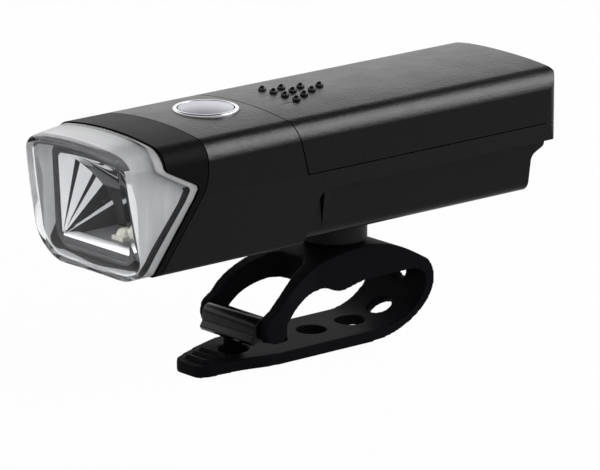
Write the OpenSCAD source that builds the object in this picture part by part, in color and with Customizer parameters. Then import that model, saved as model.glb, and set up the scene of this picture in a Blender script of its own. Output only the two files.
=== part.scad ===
// Bicycle headlight for two AA cells, on a swivel puck and a rubber handlebar strap.
// X points along the beam, Y across the lamp, Z up. The origin is the middle of the strap loop.
// Lamp pieces are drawn with z = 0 at the bottom of the keel and then lifted onto the puck.

/* [Cells and contacts] */
// Diameter of one cell
cell_d = 14.2; // [13.5:0.1:16]
// Length of one cell over its nub
cell_l = 50.5; // [44:0.5:56]
// Height of the nub on a cell
nub_h = 1.2; // [0.8:0.1:2]
// Diameter of the nub on a cell
nub_d = 5.5; // [4:0.1:6.5]
// Space between the two cells
cell_gap = 0.5; // [0.3:0.1:2]
// Compressed length of a contact spring
spring_l = 7; // [6:0.1:9]
// Wire of a contact spring
spring_wire = 0.8; // [0.6:0.05:0.9]
// Mean diameter of a contact spring at its plate
spring_d = 8.2; // [7:0.1:9]
// Turns of a contact spring
spring_turns = 4; // [3:1:4]
// Thickness of the contact sheet
contact_t = 0.4; // [0.3:0.05:0.6]

/* [Housing] */
// Distance from the swivel axis forward to the contact wall
contact_x = 14.5; // [12:0.5:18]
// Length of the wiring chamber between the contact wall and the head
chamber_l = 7.3; // [6:0.1:12]
// Height of the ledge under the wide part of the body
ledge_z = 11; // [10:0.1:14]
// Height of the drafted side below the cover seam
side_h = 4; // [3.5:0.1:6]
// Wall of the keel and of the head
wall = 1.8; // [1.4:0.1:2.2]
// Width of the keel
keel_w = 29; // [26:0.5:30]
// How far the head narrows on each side from the seam to the floor
head_draft = 1.7; // [1:0.1:3]
// Radius of the crown across the top
crown_r = 86; // [60:1:160]
// Radius of the long shoulder edges
shoulder_r = 4.5; // [3.5:0.1:6]
// Radius of the lower head edges
foot_r = 0.8; // [0.5:0.1:4]
// Radius of the rear top edge
tail_r = 3; // [2:0.1:4]
// Length of the button deck behind the bezel seam
deck_l = 23.2; // [22:0.1:32]

/* [Cover] */
// Wall of the battery cover
cover_t = 1.35; // [1.1:0.05:1.8]
// Wall of the tray lip that the cover slides on
lip_t = 1.3; // [1.1:0.05:1.8]
// Height of the tray lip above the seam
lip_h = 2.4; // [2.2:0.1:4]
// Play between parts that slide
slide_gap = 0.2; // [0.15:0.05:0.3]
// Width of the open seams
seam_gap = 0.25; // [0.15:0.05:0.4]
// Forward rake of the cover seam for each unit of height
seam_rake = 0.275; // [0.1:0.005:0.4]
// Diameter of a thumb-grip stud
stud_d = 1.75; // [1.2:0.05:2.2]
// Spacing of the thumb-grip studs
stud_pitch = 3.6; // [2.8:0.1:4]
// Rows of studs in the thumb grip
stud_rows = 4; // [2:1:4]

/* [Button] */
// Distance from the cover seam to the middle of the button
button_in = 9.2; // [8.5:0.1:10.5]
// Outer diameter of the button ring
ring_d = 13.6; // [13:0.1:16]
// Width of the ring wall
ring_w = 0.9; // [0.7:0.05:1.2]
// How far the ring stands above the deck
ring_proud = 0.45; // [0.3:0.05:0.8]
// How far the dome rises above the ring
dome_h = 0.75; // [0.4:0.05:1.2]
// Travel of the button
button_travel = 0.4; // [0.25:0.05:0.5]
// Side of the square key switch
switch_w = 6; // [5:0.1:7]
// Height of the key switch case
switch_h = 3.5; // [2.8:0.1:4]

/* [Head] */
// Length of the bezel along the top
bezel_l = 11.2; // [9:0.1:14]
// Length of the lens along the top
lens_l = 9.8; // [8:0.1:12]
// Wall of the lens
lens_t = 1.9; // [1.5:0.1:2.2]
// Width of the bezel strip behind the side window
strip_w = 2.2; // [1.8:0.1:3]
// Height of the rear corner of the side window
window_z = 17.4; // [15:0.1:18]
// Height where the side window meets the bezel brow
brow_z = 21.9; // [20:0.1:22.5]
// Rearward rake of the lens foot for each unit of height
window_rake = 0.628; // [0.5:0.005:0.75]
// Thickness of the lens seal
seal_t = 0.5; // [0.4:0.05:0.8]
// How far the lens narrows on each side towards its front
lens_taper = 2.2; // [1:0.1:3]
// Half width of the mirror cell
mirror_hw = 10.2; // [9:0.1:10.8]
// Wall of the reflector
mirror_t = 1.1; // [0.9:0.1:1.3]
// Diameter of the light opening in the mirror floor
aperture_d = 7; // [6:0.1:8]
// Distance from the focus to the front of the mirror
focus_in = 7.2; // [6.5:0.1:8]
// Side of the light emitter
emitter_w = 3.5; // [3:0.1:4.5]

/* [Swivel] */
// Diameter of the swivel puck
puck_d = 13.8; // [12:0.1:16]
// Height of the swivel puck with its washer
puck_h = 5.8; // [4.5:0.1:8]
// Thickness of the friction washer
washer_t = 0.6; // [0.4:0.1:1]
// Diameter of the pivot screw
screw_d = 3; // [2.5:0.1:3.5]
// Diameter of the pivot screw head
screw_head_d = 5.6; // [5:0.1:6.2]
// Height of the pivot screw head
screw_head_h = 2.2; // [1.8:0.1:2.6]

/* [Strap] */
// Width of the strap
strap_w = 18; // [16:0.5:24]
// Thickness of the strap band
band_t = 2.4; // [2:0.1:3]
// Clear height of the strap loop
loop_h = 11.4; // [10.5:0.1:16]
// Thickness of the saddle over the loop
saddle_t = 7.2; // [6.5:0.1:9]
// Distance from the swivel axis back to the bend of the strap
bend_x = 20; // [19:0.5:26]
// Distance from the hooked hole to the tip of the tail
tip_l = 12.4; // [12:0.1:20]
// Width of the tail at its tip
tip_w = 9; // [6:0.1:11]
// Width of each fork leg
leg_w = 4; // [3.5:0.1:5]
// Diameter of a strap hole
hole_d = 6.4; // [5.6:0.1:7]
// Spacing of the strap holes
hole_pitch = 10.6; // [10:0.1:12]
// Width of the hook prong
prong_w = 3.8; // [3:0.1:4.2]

/* [Hidden] */
$fn = 64;

// Overshoot of cutting solids
over = 1;
// Clearance of a screw shank that turns in its hole
run_gap = 0.08;
// Clearance of pieces that are fixed in a seat
seat_gap = 0.05;

// Heights of the lamp, from the keel bottom
cell_lift = 0.1;
roof_gap = 0.65;
cell_y = (cell_d + cell_gap) / 2;
cell_z = ledge_z + cell_lift + cell_d / 2;
body_h = ledge_z + cell_lift + cell_d + roof_gap + cover_t;
seam_z = ledge_z + side_h;
// Half widths, from the cells outwards
cell_side_gap = 0.2;
bay_hw = cell_d + cell_gap / 2 + cell_side_gap;
lip_hw = bay_hw + lip_t;
body_hw = lip_hw + slide_gap + cover_t;
keel_hw = keel_w / 2;
// Stations along the lamp, from the swivel axis
rear_wall_t = 1.4;
cover_back_gap = 0.8;
plate_x = contact_x - contact_t;
rear_plate_x = plate_x - cell_l - spring_l;
rear_post_x = rear_plate_x - contact_t - rear_wall_t;
rear_x = rear_post_x - cover_back_gap - cover_t;
head_x = contact_x + chamber_l;
seam_top_x = head_x + seam_rake * (body_h - seam_z);
bezel_x = seam_top_x + deck_l;
lens_x = bezel_x + bezel_l;
front_x = lens_x + lens_l;
window_x = bezel_x + strip_w;
recess_back = 4;
recess_lean = 4.7;
recess_x = head_x - recess_back;
recess_foot_x = recess_x + recess_lean;
front_lean = 5;
front_bow = 0.55;
// Level of the lamp above the middle of the loop
keel_z = loop_h / 2 + saddle_t + puck_h;

// Points of a circular arc
function arc(c, r, a0, a1, n) =
    [for (i = [0:n]) c + r * [cos(a0 + (a1 - a0) * i / n), sin(a0 + (a1 - a0) * i / n)]];
// Points of a cubic curve
function bezier(p, n) =
    [for (i = [0:n]) let (t = i / n, s = 1 - t)
        s * s * s * p[0] + 3 * s * s * t * p[1] + 3 * s * t * t * p[2] + t * t * t * p[3]];
// Direction of a cubic curve at t
function bezier_way(p, t) = let (s = 1 - t)
    unit(s * s * (p[1] - p[0]) + 2 * s * t * (p[2] - p[1]) + t * t * (p[3] - p[2]));
function unit(v) = v / norm(v);
function mirrored(pts) = [for (i = [len(pts) - 1:-1:0]) [-pts[i][0], pts[i][1]]];
// Corner b of an outline, rounded to radius r
function corner(a, b, c, r, n) =
    let (u = unit(a - b), v = unit(c - b), half = acos(u * v) / 2, m = b + unit(u + v) * r / sin(half),
         p = b + u * r / tan(half) - m, q = b + v * r / tan(half) - m,
         a0 = atan2(p[1], p[0]), da = atan2(q[1], q[0]) - a0,
         sweep = da > 180 ? da - 360 : da < -180 ? da + 360 : da)
    arc(m, r, a0, a0 + sweep, n);
// Outline of corner points, each with its radius as third number, 0 for a sharp corner
function rounded(pts, n = 6) =
    let (k = len(pts))
    [for (i = [0:k - 1])
        let (a = pts[(i + k - 1) % k], b = pts[i], c = pts[(i + 1) % k])
        each b[2] == 0 ? [[b[0], b[1]]] : corner([a[0], a[1]], [b[0], b[1]], [c[0], c[1]], b[2], n)];
// Open line of corner points with radii, from its first point to its last
function rounded_line(pts, n = 6) =
    let (k = len(pts))
    [for (i = [0:k - 1])
        let (b = pts[i])
        each i == 0 || i == k - 1 || b[2] == 0 ? [[b[0], b[1]]]
            : let (a = pts[i - 1], c = pts[i + 1])
              corner([a[0], a[1]], [b[0], b[1]], [c[0], c[1]], b[2], n)];

// Extrusion of a (y, z) outline along X
module along_x(x0, x1) {
    translate([x0, 0, 0]) rotate([90, 0, 90]) linear_extrude(x1 - x0) children();
}
// Extrusion of an (x, z) outline across the lamp
module across_y(y0, y1) {
    translate([0, y1, 0]) rotate([90, 0, 0]) linear_extrude(y1 - y0) children();
}
module x_rod(d, x0, x1, y, z) {
    translate([x0, y, z]) rotate([0, 90, 0]) cylinder(d = d, h = x1 - x0);
}
module box(x0, x1, y0, y1, z0, z1) {
    translate([x0, y0, z0]) cube([x1 - x0, y1 - y0, z1 - z0]);
}
module at_lamp() {
    translate([0, 0, keel_z]) children();
}
module both_sides() {
    children();
    mirror([0, 1, 0]) children();
}

// One unbroken round tube along points, its faces all triangles
function transported(pts, i, n) =
    let (t = tube_way(pts, i), m = unit(n - (n * t) * t))
    i == len(pts) - 1 ? [m] : concat([m], transported(pts, i + 1, m));
function tube_way(pts, i) =
    i == 0 ? unit(pts[1] - pts[0])
    : i == len(pts) - 1 ? unit(pts[i] - pts[i - 1])
    : unit(unit(pts[i] - pts[i - 1]) + unit(pts[i + 1] - pts[i]));
module tube(pts, d, sides, start) {
    side = transported(pts, 0, start);
    k = len(pts);
    turn = 360 / sides;
    rings = [for (i = [0:k - 1]) let (m = side[i], w = cross(tube_way(pts, i), m))
        each [for (j = [0:sides - 1]) pts[i] + d / 2 * (cos(j * turn) * m + sin(j * turn) * w)]];
    walls = [for (i = [0:k - 2]) for (j = [0:sides - 1])
        let (a = i * sides + j, b = i * sides + (j + 1) % sides)
        each [[a, a + sides, b], [b, a + sides, b + sides]]];
    first = [for (j = [1:sides - 2]) [0, j, j + 1]];
    last = [for (j = [1:sides - 2]) let (o = (k - 1) * sides) [o, o + j + 1, o + j]];
    polyhedron(points = rings, faces = concat(walls, first, last));
}

// Cross section of the lamp, inset by t, with the crown, the shoulders and the drafted head sides
draft = atan(head_draft / seam_z);
shoulder_z = body_h - crown_r + sqrt(pow(crown_r - shoulder_r, 2) - pow(body_hw - shoulder_r, 2));
crown_half = asin((body_hw - shoulder_r) / (crown_r - shoulder_r));
min_r = 0.2;
// Middle of the lower corner, which stays min_r round where the inset is deeper than foot_r
function foot_c(t) = let (d = max(foot_r, t + min_r))
    [body_hw - (seam_z - d) * tan(draft) - d / cos(draft), d];
function lamp_half(t) = concat(
    arc(foot_c(t), max(foot_r - t, min_r), -90, -draft, 5),
    [[body_hw - t, seam_z + t * tan(draft / 2)]],
    arc([body_hw - shoulder_r, shoulder_z], max(shoulder_r - t, min_r), 0, 90 - crown_half, 14),
    arc([0, body_h - crown_r], crown_r - t, 90 - crown_half, 90, 10));
function lamp_section(t) = let (h = lamp_half(t)) concat(h, mirrored([for (i = [0:len(h) - 2]) h[i]]));
module lamp_bar(t, x0, x1) {
    along_x(x0, x1) polygon(lamp_section(t));
}

// Side outline of the wide body, with the ledge, the recess in front of the keel and the rear end
rear_lean = 0.5;
rear_edge_r = 0.5;
ledge_r = 1.2;
recess_r = 3.5;
module wide_side() {
    across_y(-body_hw - over, body_hw + over) polygon(rounded([
        [rear_x + rear_lean, ledge_z, ledge_r], [recess_x, ledge_z, recess_r], [recess_foot_x, -over, 0],
        [front_x, -over, 0], [front_x, body_h + over / 2, 0],
        [rear_x, body_h + over / 2, tail_r + over / 2], [rear_x, seam_z, rear_edge_r]]));
}
// Plan outline that rounds the two upright rear corners
corner_r = 3;
module rear_plan(t) {
    translate([0, 0, -over]) linear_extrude(body_h + 2 * over) polygon(rounded([
        [rear_x + t, -body_hw + t, corner_r - t], [front_x + over, -body_hw + t, 0],
        [front_x + over, body_hw - t, 0], [rear_x + t, body_hw - t, corner_r - t]]));
}
// Keel under the battery bay, with the cove at its rear end
keel_back = 5.2;
keel_lean = 1.2;
keel_r = 2.1;
cove_back = 1.6;
cove_drop = 3.4;
cove_r = 2.2;
module keel_bar(t) {
    top = ledge_z + wall;
    front = recess_foot_x + wall;
    intersection() {
        along_x(rear_x, front) polygon(rounded([
            [-keel_hw + t, t, keel_r - t], [keel_hw - t, t, keel_r - t],
            [keel_hw - t, top, 0], [-keel_hw + t, top, 0]]));
        across_y(-keel_hw - over, keel_hw + over) polygon(rounded([
            [rear_x + keel_back + keel_lean + t, -over, 0], [front + over, -over, 0],
            [front + over, top + over, 0], [rear_x + cove_back + t, top + over, 0],
            [rear_x + cove_back + t, ledge_z - cove_drop / 2, cove_r / 2],
            [rear_x + keel_back + t, ledge_z - cove_drop, cove_r]]));
    }
}

// Zones that split the lamp at its seams
module cover_zone(grow) {
    across_y(-body_hw - over, body_hw + over) polygon([
        [rear_x - over, seam_z - grow], [head_x + grow, seam_z - grow],
        [seam_top_x + seam_rake * over + grow, body_h + over], [rear_x - over, body_h + over]]);
}
bezel_bend_z = 17.5;
bezel_bend_r = 8;
brow_r = 1.5;
window_r = 1.3;
function bezel_line(dx) = rounded_line([
    [bezel_x + dx, body_h + over, 0], [bezel_x + dx, bezel_bend_z, bezel_bend_r],
    [bezel_x + window_rake * (bezel_bend_z + over) + dx, -over, 0]]);
function lens_line(dx) = rounded_line([
    [lens_x + dx, body_h + over, 0], [lens_x + dx, brow_z, brow_r],
    [window_x + dx, window_z, window_r], [window_x + window_rake * (window_z + over) + dx, -over, 0]]);
// Everything ahead of a seam line
module ahead_of(line) {
    across_y(-body_hw - over, body_hw + over) polygon(concat(line,
        [[front_x + 2 * over, -over], [front_x + 2 * over, body_h + over]]));
}

// Housing
module wide_body() {
    intersection() {
        lamp_bar(0, rear_x, front_x);
        wide_side();
        rear_plan(0);
    }
}
button_x = seam_top_x + button_in;
ring_floor = 1.2;
seal_h = 0.5;
ring_seat_z = body_h - ring_floor;
ring_bore = ring_d - 2 * ring_w;
cap_gap = 0.2;
cap_d = ring_bore - 2 * cap_gap;
cap_catch = 0.25;
cap_flange_d = ring_bore + 2 * cap_catch;
cap_bore = cap_flange_d + 2 * slide_gap;
cap_flange_h = 0.8;
stem_d = 4;
stem_l = 0.5;
plunger_d = 3.4;
plunger_h = 1.5;
cap_flange_top = ring_seat_z - slide_gap;
plunger_top = cap_flange_top - cap_flange_h - stem_l;
board_top = plunger_top - plunger_h - switch_h;
board_t = 1.6;
board_low = board_top - board_t;
board_back_gap = 5.6;
board_front_gap = 3;
board_side_gap = 2.7;
board_x0 = head_x + board_back_gap;
board_x1 = bezel_x - board_front_gap;
board_hw = body_hw - wall - board_side_gap;
rail_w = 3;
rail_h = 1.6;
screw_edge = 2;
screw_end = 3;
screw_hole_x = board_x1 - screw_end;
screw_hole_y = board_hw - screw_edge;
board_screw_d = 2;
board_screw_head = 3.6;
groove_rise = 0.8;
groove_z = seam_z + groove_rise;
groove_w = 1.1;
groove_depth = 0.6;
rib_n = 4;
rib_inset = 7;
rib_t = 1.4;
rib_pitch = (plate_x - rear_plate_x - 2 * rib_inset) / (rib_n - 1);
rib_top = cell_z - cell_d / 5;
bay_cut_hw = bay_hw + over / 2;
lug_w = 3;
lug_drop = 1.5;
lug_z = seam_z - lug_drop;
lug_l = 2.5;
slot_gap = 0.2;
wire_d = 1.2;
wire_hole_d = 2.4;
insert_d = 4.4;
insert_l = 6;
insert_boss_d = 8.4;

module bay_walls() {
    // Contact wall, rear post and the lips on both sides, all inside the cover
    difference() {
        intersection() {
            lamp_bar(cover_t + slide_gap, rear_post_x, seam_top_x);
            rear_plan(cover_t + slide_gap);
            union() {
                box(contact_x, contact_x + rear_wall_t, -body_hw, body_hw, wall, body_h);
                box(rear_post_x, rear_post_x + rear_wall_t, -body_hw, body_hw, seam_z - over, body_h);
                both_sides() box(rear_post_x, head_x - seam_gap, bay_hw, body_hw,
                                 seam_z - over, seam_z + lip_h);
            }
        }
        both_sides() box(rear_post_x - over, head_x, lip_hw - groove_depth, body_hw + over,
                         groove_z, groove_z + groove_w);
    }
}
module cell_seats(gap) {
    both_sides() x_rod(cell_d + 2 * gap, rear_plate_x, plate_x, cell_y, cell_z);
}
module cradle_ribs() {
    // Cross ribs in the keel with a round seat for each cell
    intersection() {
        difference() {
            for (i = [0:rib_n - 1]) let (x = rear_plate_x + rib_inset + i * rib_pitch)
                box(x - rib_t / 2, x + rib_t / 2, -bay_cut_hw, bay_cut_hw, wall / 2, rib_top);
            cell_seats(seat_gap);
        }
        union() {
            keel_bar(wall / 2);
            box(rear_x, head_x, -bay_cut_hw, bay_cut_hw, ledge_z + wall / 2, body_h);
        }
    }
}
module head_cavity() {
    intersection() {
        lamp_bar(wall, head_x, front_x);
        across_y(-body_hw, body_hw) polygon([
            [head_x + wall, 0], [head_x + wall, seam_z], [seam_top_x + wall, body_h],
            [front_x, body_h], [front_x, 0]]);
    }
}
module main_housing() color([0.13, 0.13, 0.14]) at_lamp() {
    difference() {
        union() {
            difference() {
                union() {
                    wide_body();
                    keel_bar(0);
                }
                cover_zone(seam_gap);
                ahead_of(bezel_line(-seam_gap));
                box(rear_post_x + rear_wall_t, contact_x, -bay_hw, bay_hw, ledge_z + wall, body_h);
                box(contact_x + rear_wall_t, head_x, -bay_hw, bay_hw, ledge_z + wall, body_h);
                difference() {
                    keel_bar(wall);
                    box(head_x - wall, front_x, -body_hw, body_hw, -over, body_h);
                    box(contact_x, contact_x + rear_wall_t, -body_hw, body_hw, -over, body_h);
                }
                cell_seats(cell_lift);
                head_cavity();
            }
            bay_walls();
            cradle_ribs();
            translate([0, 0, wall / 2]) cylinder(d = insert_boss_d, h = insert_l + wall / 2);
            both_sides() intersection() {
                lamp_bar(wall / 2, head_x + wall, board_x1);
                box(head_x + wall / 2, board_x1, board_hw - rail_w, body_hw, board_low - rail_h, board_low);
            }
        }
        // Pivot insert
        translate([0, 0, wall]) cylinder(d = insert_d + 2 * seat_gap, h = insert_l + over);
        translate([0, 0, -over]) cylinder(d = screw_d + 2 * run_gap, h = 3 * over + wall);
        // Button opening
        translate([button_x, 0, ring_seat_z]) {
            cylinder(d = ring_d + 2 * seat_gap, h = 2 * over + ring_floor);
            translate([0, 0, -2 * wall]) cylinder(d = cap_bore, h = 3 * wall);
        }
        // Wire holes and lug slots
        both_sides() x_rod(wire_hole_d, head_x - wall, head_x + 2 * wall, cell_y, lug_z);
        both_sides() box(contact_x - over, contact_x + 2 * rear_wall_t,
                         cell_y - lug_w / 2 - slot_gap, cell_y + lug_w / 2 + slot_gap,
                         lug_z - contact_t / 2 - slot_gap, lug_z + contact_t / 2 + slot_gap);
        // Screw holes of the board rails
        both_sides() translate([screw_hole_x, screw_hole_y, board_low - rail_h - over])
            cylinder(d = board_screw_d + 2 * seat_gap, h = rail_h + 2 * over);
    }
}

// Cover that slides off to the rear
grip_lead = 0.4;
grip_x = contact_x + grip_lead;
stud_lift = 0.1;
cover_rib_z = groove_z + slide_gap;
module battery_cover() color([0.14, 0.14, 0.15]) at_lamp() {
    difference() {
        intersection() {
            wide_body();
            cover_zone(0);
        }
        intersection() {
            lamp_bar(cover_t, rear_x + cover_t, front_x);
            rear_plan(cover_t);
        }
    }
    both_sides() intersection() {
        lamp_bar(cover_t / 2, rear_post_x, head_x - over);
        box(rear_post_x, head_x - over, lip_hw - groove_depth + slide_gap, body_hw,
            cover_rib_z, cover_rib_z + groove_w - 2 * slide_gap);
    }
    // Thumb grip: rows of round studs that narrow to the rear
    for (r = [0:stud_rows - 1]) for (j = [0:stud_rows - 1 - r])
        let (y = (j - (stud_rows - 1 - r) / 2) * stud_pitch,
             top = body_h - crown_r + sqrt(crown_r * crown_r - y * y))
        translate([grip_x - r * stud_pitch, y, top + stud_lift]) {
            sphere(d = stud_d);
            translate([0, 0, -stud_lift - cover_t / 2]) cylinder(d = stud_d, h = stud_lift + cover_t / 2);
        }
}

// Bezel and lens
module bezel_shell(t0, t1, line, stop) {
    difference() {
        lamp_bar(t0, head_x, front_x);
        lamp_bar(t1, head_x - over, front_x + over);
        difference() {
            box(head_x - over, front_x + 2 * over, -body_hw - over, body_hw + over, -over, body_h + over);
            difference() {
                ahead_of(line);
                ahead_of(stop);
            }
        }
    }
}
spigot_t = 1.2;
spigot_l = 2.4;
spigot_z = 7;
root_gap = 0.2;
root_l = strip_w - seal_t - root_gap;
module front_bezel() color([0.06, 0.06, 0.065]) at_lamp() {
    bezel_shell(0, wall, bezel_line(0), lens_line(-seal_t));
    // Spigot that plugs into the head above the heat sink
    intersection() {
        union() {
            bezel_shell(wall + seat_gap, wall + spigot_t, bezel_line(-spigot_l), bezel_line(over));
            bezel_shell(wall / 2, wall + spigot_t, bezel_line(over / 2), bezel_line(root_l));
        }
        box(head_x, front_x, -body_hw, body_hw, spigot_z, body_h);
    }
}
lens_lip = 0.25;
lens_foot = 0.3;
lens_drop = 1.6;
lens_top = body_h - lens_drop;
lens_edge_r = 1.4;
// Front of the lens in side view, from its foot to its top: it leans back and bows forward
front_steps = 8;
function front_line(t, foot, top, r) = [for (i = [0:front_steps])
    let (s = 1 - i / front_steps)
    [front_x - t - front_lean * s + 4 * front_bow * s * (1 - s), top - (top - foot) * s,
     i == 0 || i == front_steps ? r : 0]];
// Waste outside a rounded long edge of the lens, from a front corner to the rear and outwards.
// up is 1 for an upper edge and -1 for a lower one
lens_low_r = 4;
lens_high_r = 3.6;
low_splay = [20, 20];
high_splay = [6, 9];
edge_run = 22;
module edge_waste(p, r, splay, up) {
    translate(p) rotate([0, up * splay[1], -splay[0]]) along_x(-edge_run, edge_run / 2)
        polygon([for (q = concat(arc([-r, -r], r, 0, 90, 8), [[-r, 2 * r], [2 * r, 2 * r], [2 * r, -r]]))
            [q[0], up * q[1]]]);
}
// Block of the lens inset by t: the lamp section, narrowed in plan and in side view towards the front
module lens_solid(t) {
    edge_r = max(lens_edge_r - t, min_r);
    rear_hw = body_hw - lens_lip / 2 - t;
    front_hw = body_hw - lens_taper - t;
    foot_hw = foot_c(lens_lip)[0] + max(foot_r, lens_lip + min_r) - lens_lip - t;
    difference() {
        intersection() {
            lamp_bar(lens_lip + t, bezel_x, front_x + over);
            translate([0, 0, -over]) linear_extrude(body_h + 2 * over) polygon(rounded([
                [bezel_x, -rear_hw, 0], [front_x - t, -front_hw, edge_r],
                [front_x - t, front_hw, edge_r], [bezel_x, rear_hw, 0]]));
            across_y(-body_hw - over, body_hw + over) polygon(rounded(concat(
                [[bezel_x, t - over, 0]], front_line(t, lens_foot + t, lens_top - t, edge_r),
                [[bezel_x, body_h + over / 2 - t, 0]])));
        }
        both_sides() {
            edge_waste([front_x - front_lean, foot_hw, lens_foot + t], lens_low_r - t, low_splay, -1);
            edge_waste([front_x, front_hw, lens_top - t], lens_high_r - t, high_splay, 1);
        }
    }
}
module lens() color([0.86, 0.9, 0.93, 0.4]) at_lamp() {
    difference() {
        intersection() {
            lens_solid(0);
            ahead_of(lens_line(0));
        }
        lens_solid(lens_t);
    }
}
seal_in = 0.4;
module lens_seal() color([0.2, 0.2, 0.21]) at_lamp() {
    bezel_shell(seal_in, wall, lens_line(-seal_t), lens_line(0));
}

// Light engine: a half parabola over an emitter that faces up
sink_t = 1;
led_board_t = 1.2;
mirror_floor_z = wall + sink_t + led_board_t;
mirror_floor_t = 1;
mirror_gap = 0.9;
mirror_front_gap = 0.4;
mirror_top = lens_top - lens_t - mirror_gap;
mirror_front_x = front_x - front_lean + front_bow - lens_t - mirror_front_gap;
mirror_outer = mirror_hw + mirror_t;
focus_x = mirror_front_x - focus_in;
focus_z = mirror_floor_z + mirror_floor_t;
focus_rise = mirror_top - focus_z;
focus_run = mirror_front_x - focus_x;
focal = (sqrt(focus_run * focus_run + focus_rise * focus_rise) - focus_run) / 2;
mirror_steps = 12;
function mirror_curve(t) = [for (i = [0:mirror_steps])
    let (h = focus_rise * i / mirror_steps) [focus_x - focal + h * h / (4 * focal) - t, focus_z + h]];
mirror_back_x = focus_x - focal - mirror_t;
// Wings that close the space between the mirror and the side windows
wing_drop = 1.5;
wing_gap = 0.2;
wing_z = window_z - wing_drop;
wing_hw = body_hw - head_draft - max(lens_t, wall + spigot_t) - wing_gap;
wing_front = mirror_front_x - 3;
wing_back = window_x + 7;
// Ears for the two screws behind the mirror
ear_l = 4;
ear_w = 4;
ear_x = mirror_back_x - ear_l / 2;
ear_in = 3;
ear_y = mirror_hw - ear_in;
module ear_holes(z, h) {
    both_sides() translate([ear_x, ear_y, z - over])
        cylinder(d = board_screw_d + 2 * seat_gap, h = h + 2 * over);
}
module reflector() color([0.85, 0.86, 0.88]) at_lamp() {
    difference() {
        union() {
            across_y(-mirror_outer, mirror_outer) polygon(concat(
                mirror_curve(0), [for (i = [mirror_steps:-1:0]) mirror_curve(mirror_t)[i]]));
            both_sides() across_y(mirror_hw, mirror_outer) polygon(concat(mirror_curve(mirror_t / 2),
                [[mirror_front_x, mirror_top], [mirror_front_x, focus_z]]));
            box(mirror_back_x, mirror_front_x, -mirror_outer, mirror_outer, mirror_floor_z, focus_z);
            both_sides() translate([0, 0, mirror_floor_z]) linear_extrude(wing_z - mirror_floor_z) polygon([
                [mirror_front_x, mirror_outer - mirror_t / 2], [mirror_front_x, mirror_outer + mirror_t],
                [wing_back + mirror_t, wing_hw], [wing_back, wing_hw],
                [wing_front, mirror_outer - mirror_t / 2]]);
            both_sides() box(mirror_back_x - ear_l, mirror_back_x + mirror_t,
                             mirror_hw - ear_w, mirror_outer, mirror_floor_z, focus_z);
        }
        translate([focus_x, 0, mirror_floor_z - over])
            cylinder(d = aperture_d, h = mirror_floor_t + 2 * over);
        ear_holes(mirror_floor_z, mirror_floor_t);
    }
}
led_board_back = 6.4;
led_board_x0 = mirror_back_x - led_board_back;
led_board_x1 = mirror_front_x - 1;
led_board_in = 0.6;
led_board_hw = mirror_hw - led_board_in;
module led_board() color([0.85, 0.85, 0.82]) at_lamp() difference() {
    box(led_board_x0, led_board_x1, -led_board_hw, led_board_hw, wall + sink_t, mirror_floor_z);
    ear_holes(wall + sink_t, led_board_t);
}
emitter_h = 0.9;
emitter_dome_d = 3;
module led_emitter() color([0.95, 0.85, 0.35]) at_lamp() translate([focus_x, 0, mirror_floor_z]) {
    box(-emitter_w / 2, emitter_w / 2, -emitter_w / 2, emitter_w / 2, 0, emitter_h);
    intersection() {
        translate([0, 0, emitter_h]) sphere(d = emitter_dome_d);
        box(-emitter_w, emitter_w, -emitter_w, emitter_w, emitter_h / 2, emitter_h + emitter_dome_d);
    }
}
fin_n = 7;
fin_l = 4.5;
fin_h = 7;
fin_t = 1;
fin_pitch = 2.6;
fin_gap = 1.5;
sink_x0 = led_board_x0 - fin_gap - fin_l;
sink_x1 = window_x + window_rake * (window_z - wall - sink_t) - seal_t - slide_gap;
module heat_sink() color([0.75, 0.76, 0.78]) at_lamp() difference() {
    union() {
        box(sink_x0, sink_x1, -led_board_hw, led_board_hw, wall, wall + sink_t);
        for (i = [0:fin_n - 1]) let (y = (i - (fin_n - 1) / 2) * fin_pitch)
            box(sink_x0, sink_x0 + fin_l, y - fin_t / 2, y + fin_t / 2, wall + sink_t / 2, wall + fin_h);
    }
    ear_holes(wall, sink_t);
}
// Screw with a cross slot, its head standing on z = 0
cross_w = 0.4;
cross_depth = 0.7;
module small_screw(d, head, l) {
    head_h = head * 0.4;
    arm = head * 0.32;
    difference() {
        union() {
            cylinder(d = head, h = head_h);
            translate([0, 0, -l]) cylinder(d = d, h = l + head_h / 2);
        }
        for (a = [0, 90]) rotate(a)
            box(-arm, arm, -cross_w / 2, cross_w / 2, head_h - cross_depth, head_h + over);
    }
}
module reflector_screws() color([0.7, 0.7, 0.72]) at_lamp() both_sides()
    translate([ear_x, ear_y, focus_z]) small_screw(board_screw_d, board_screw_head, focus_z - wall);

// Control board and button
module control_board() color([0.1, 0.35, 0.2]) at_lamp() difference() {
    box(board_x0, board_x1, -board_hw, board_hw, board_low, board_top);
    both_sides() translate([screw_hole_x, screw_hole_y, board_low - over])
        cylinder(d = board_screw_d + 2 * seat_gap, h = board_t + 2 * over);
}
module board_screws() color([0.7, 0.7, 0.72]) at_lamp() both_sides()
    translate([screw_hole_x, screw_hole_y, board_top])
        small_screw(board_screw_d, board_screw_head, board_t + rail_h);
chip = [5, 4, 1.5];
chip_gap = 0.6;
chip_x = button_x + switch_w / 2 + chip_gap;
resistor = [0.9, 1.6, 0.6];
resistor_n = 4;
resistor_pitch = 1.5;
resistor_y = -6.5;
coil_d = 5;
coil_h = 3;
coil_in = 4.5;
module board_components() color([0.12, 0.12, 0.13]) at_lamp() translate([0, 0, board_top]) {
    translate([chip_x, -chip[1] / 2, 0]) cube(chip);
    both_sides() translate([board_x0 + coil_in, board_hw - coil_in, 0]) cylinder(d = coil_d, h = coil_h);
    for (i = [0:resistor_n - 1]) translate([chip_x + i * resistor_pitch, resistor_y, 0]) cube(resistor);
}
plunger_gap = 0.15;
key_gap = 0.1;
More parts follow.
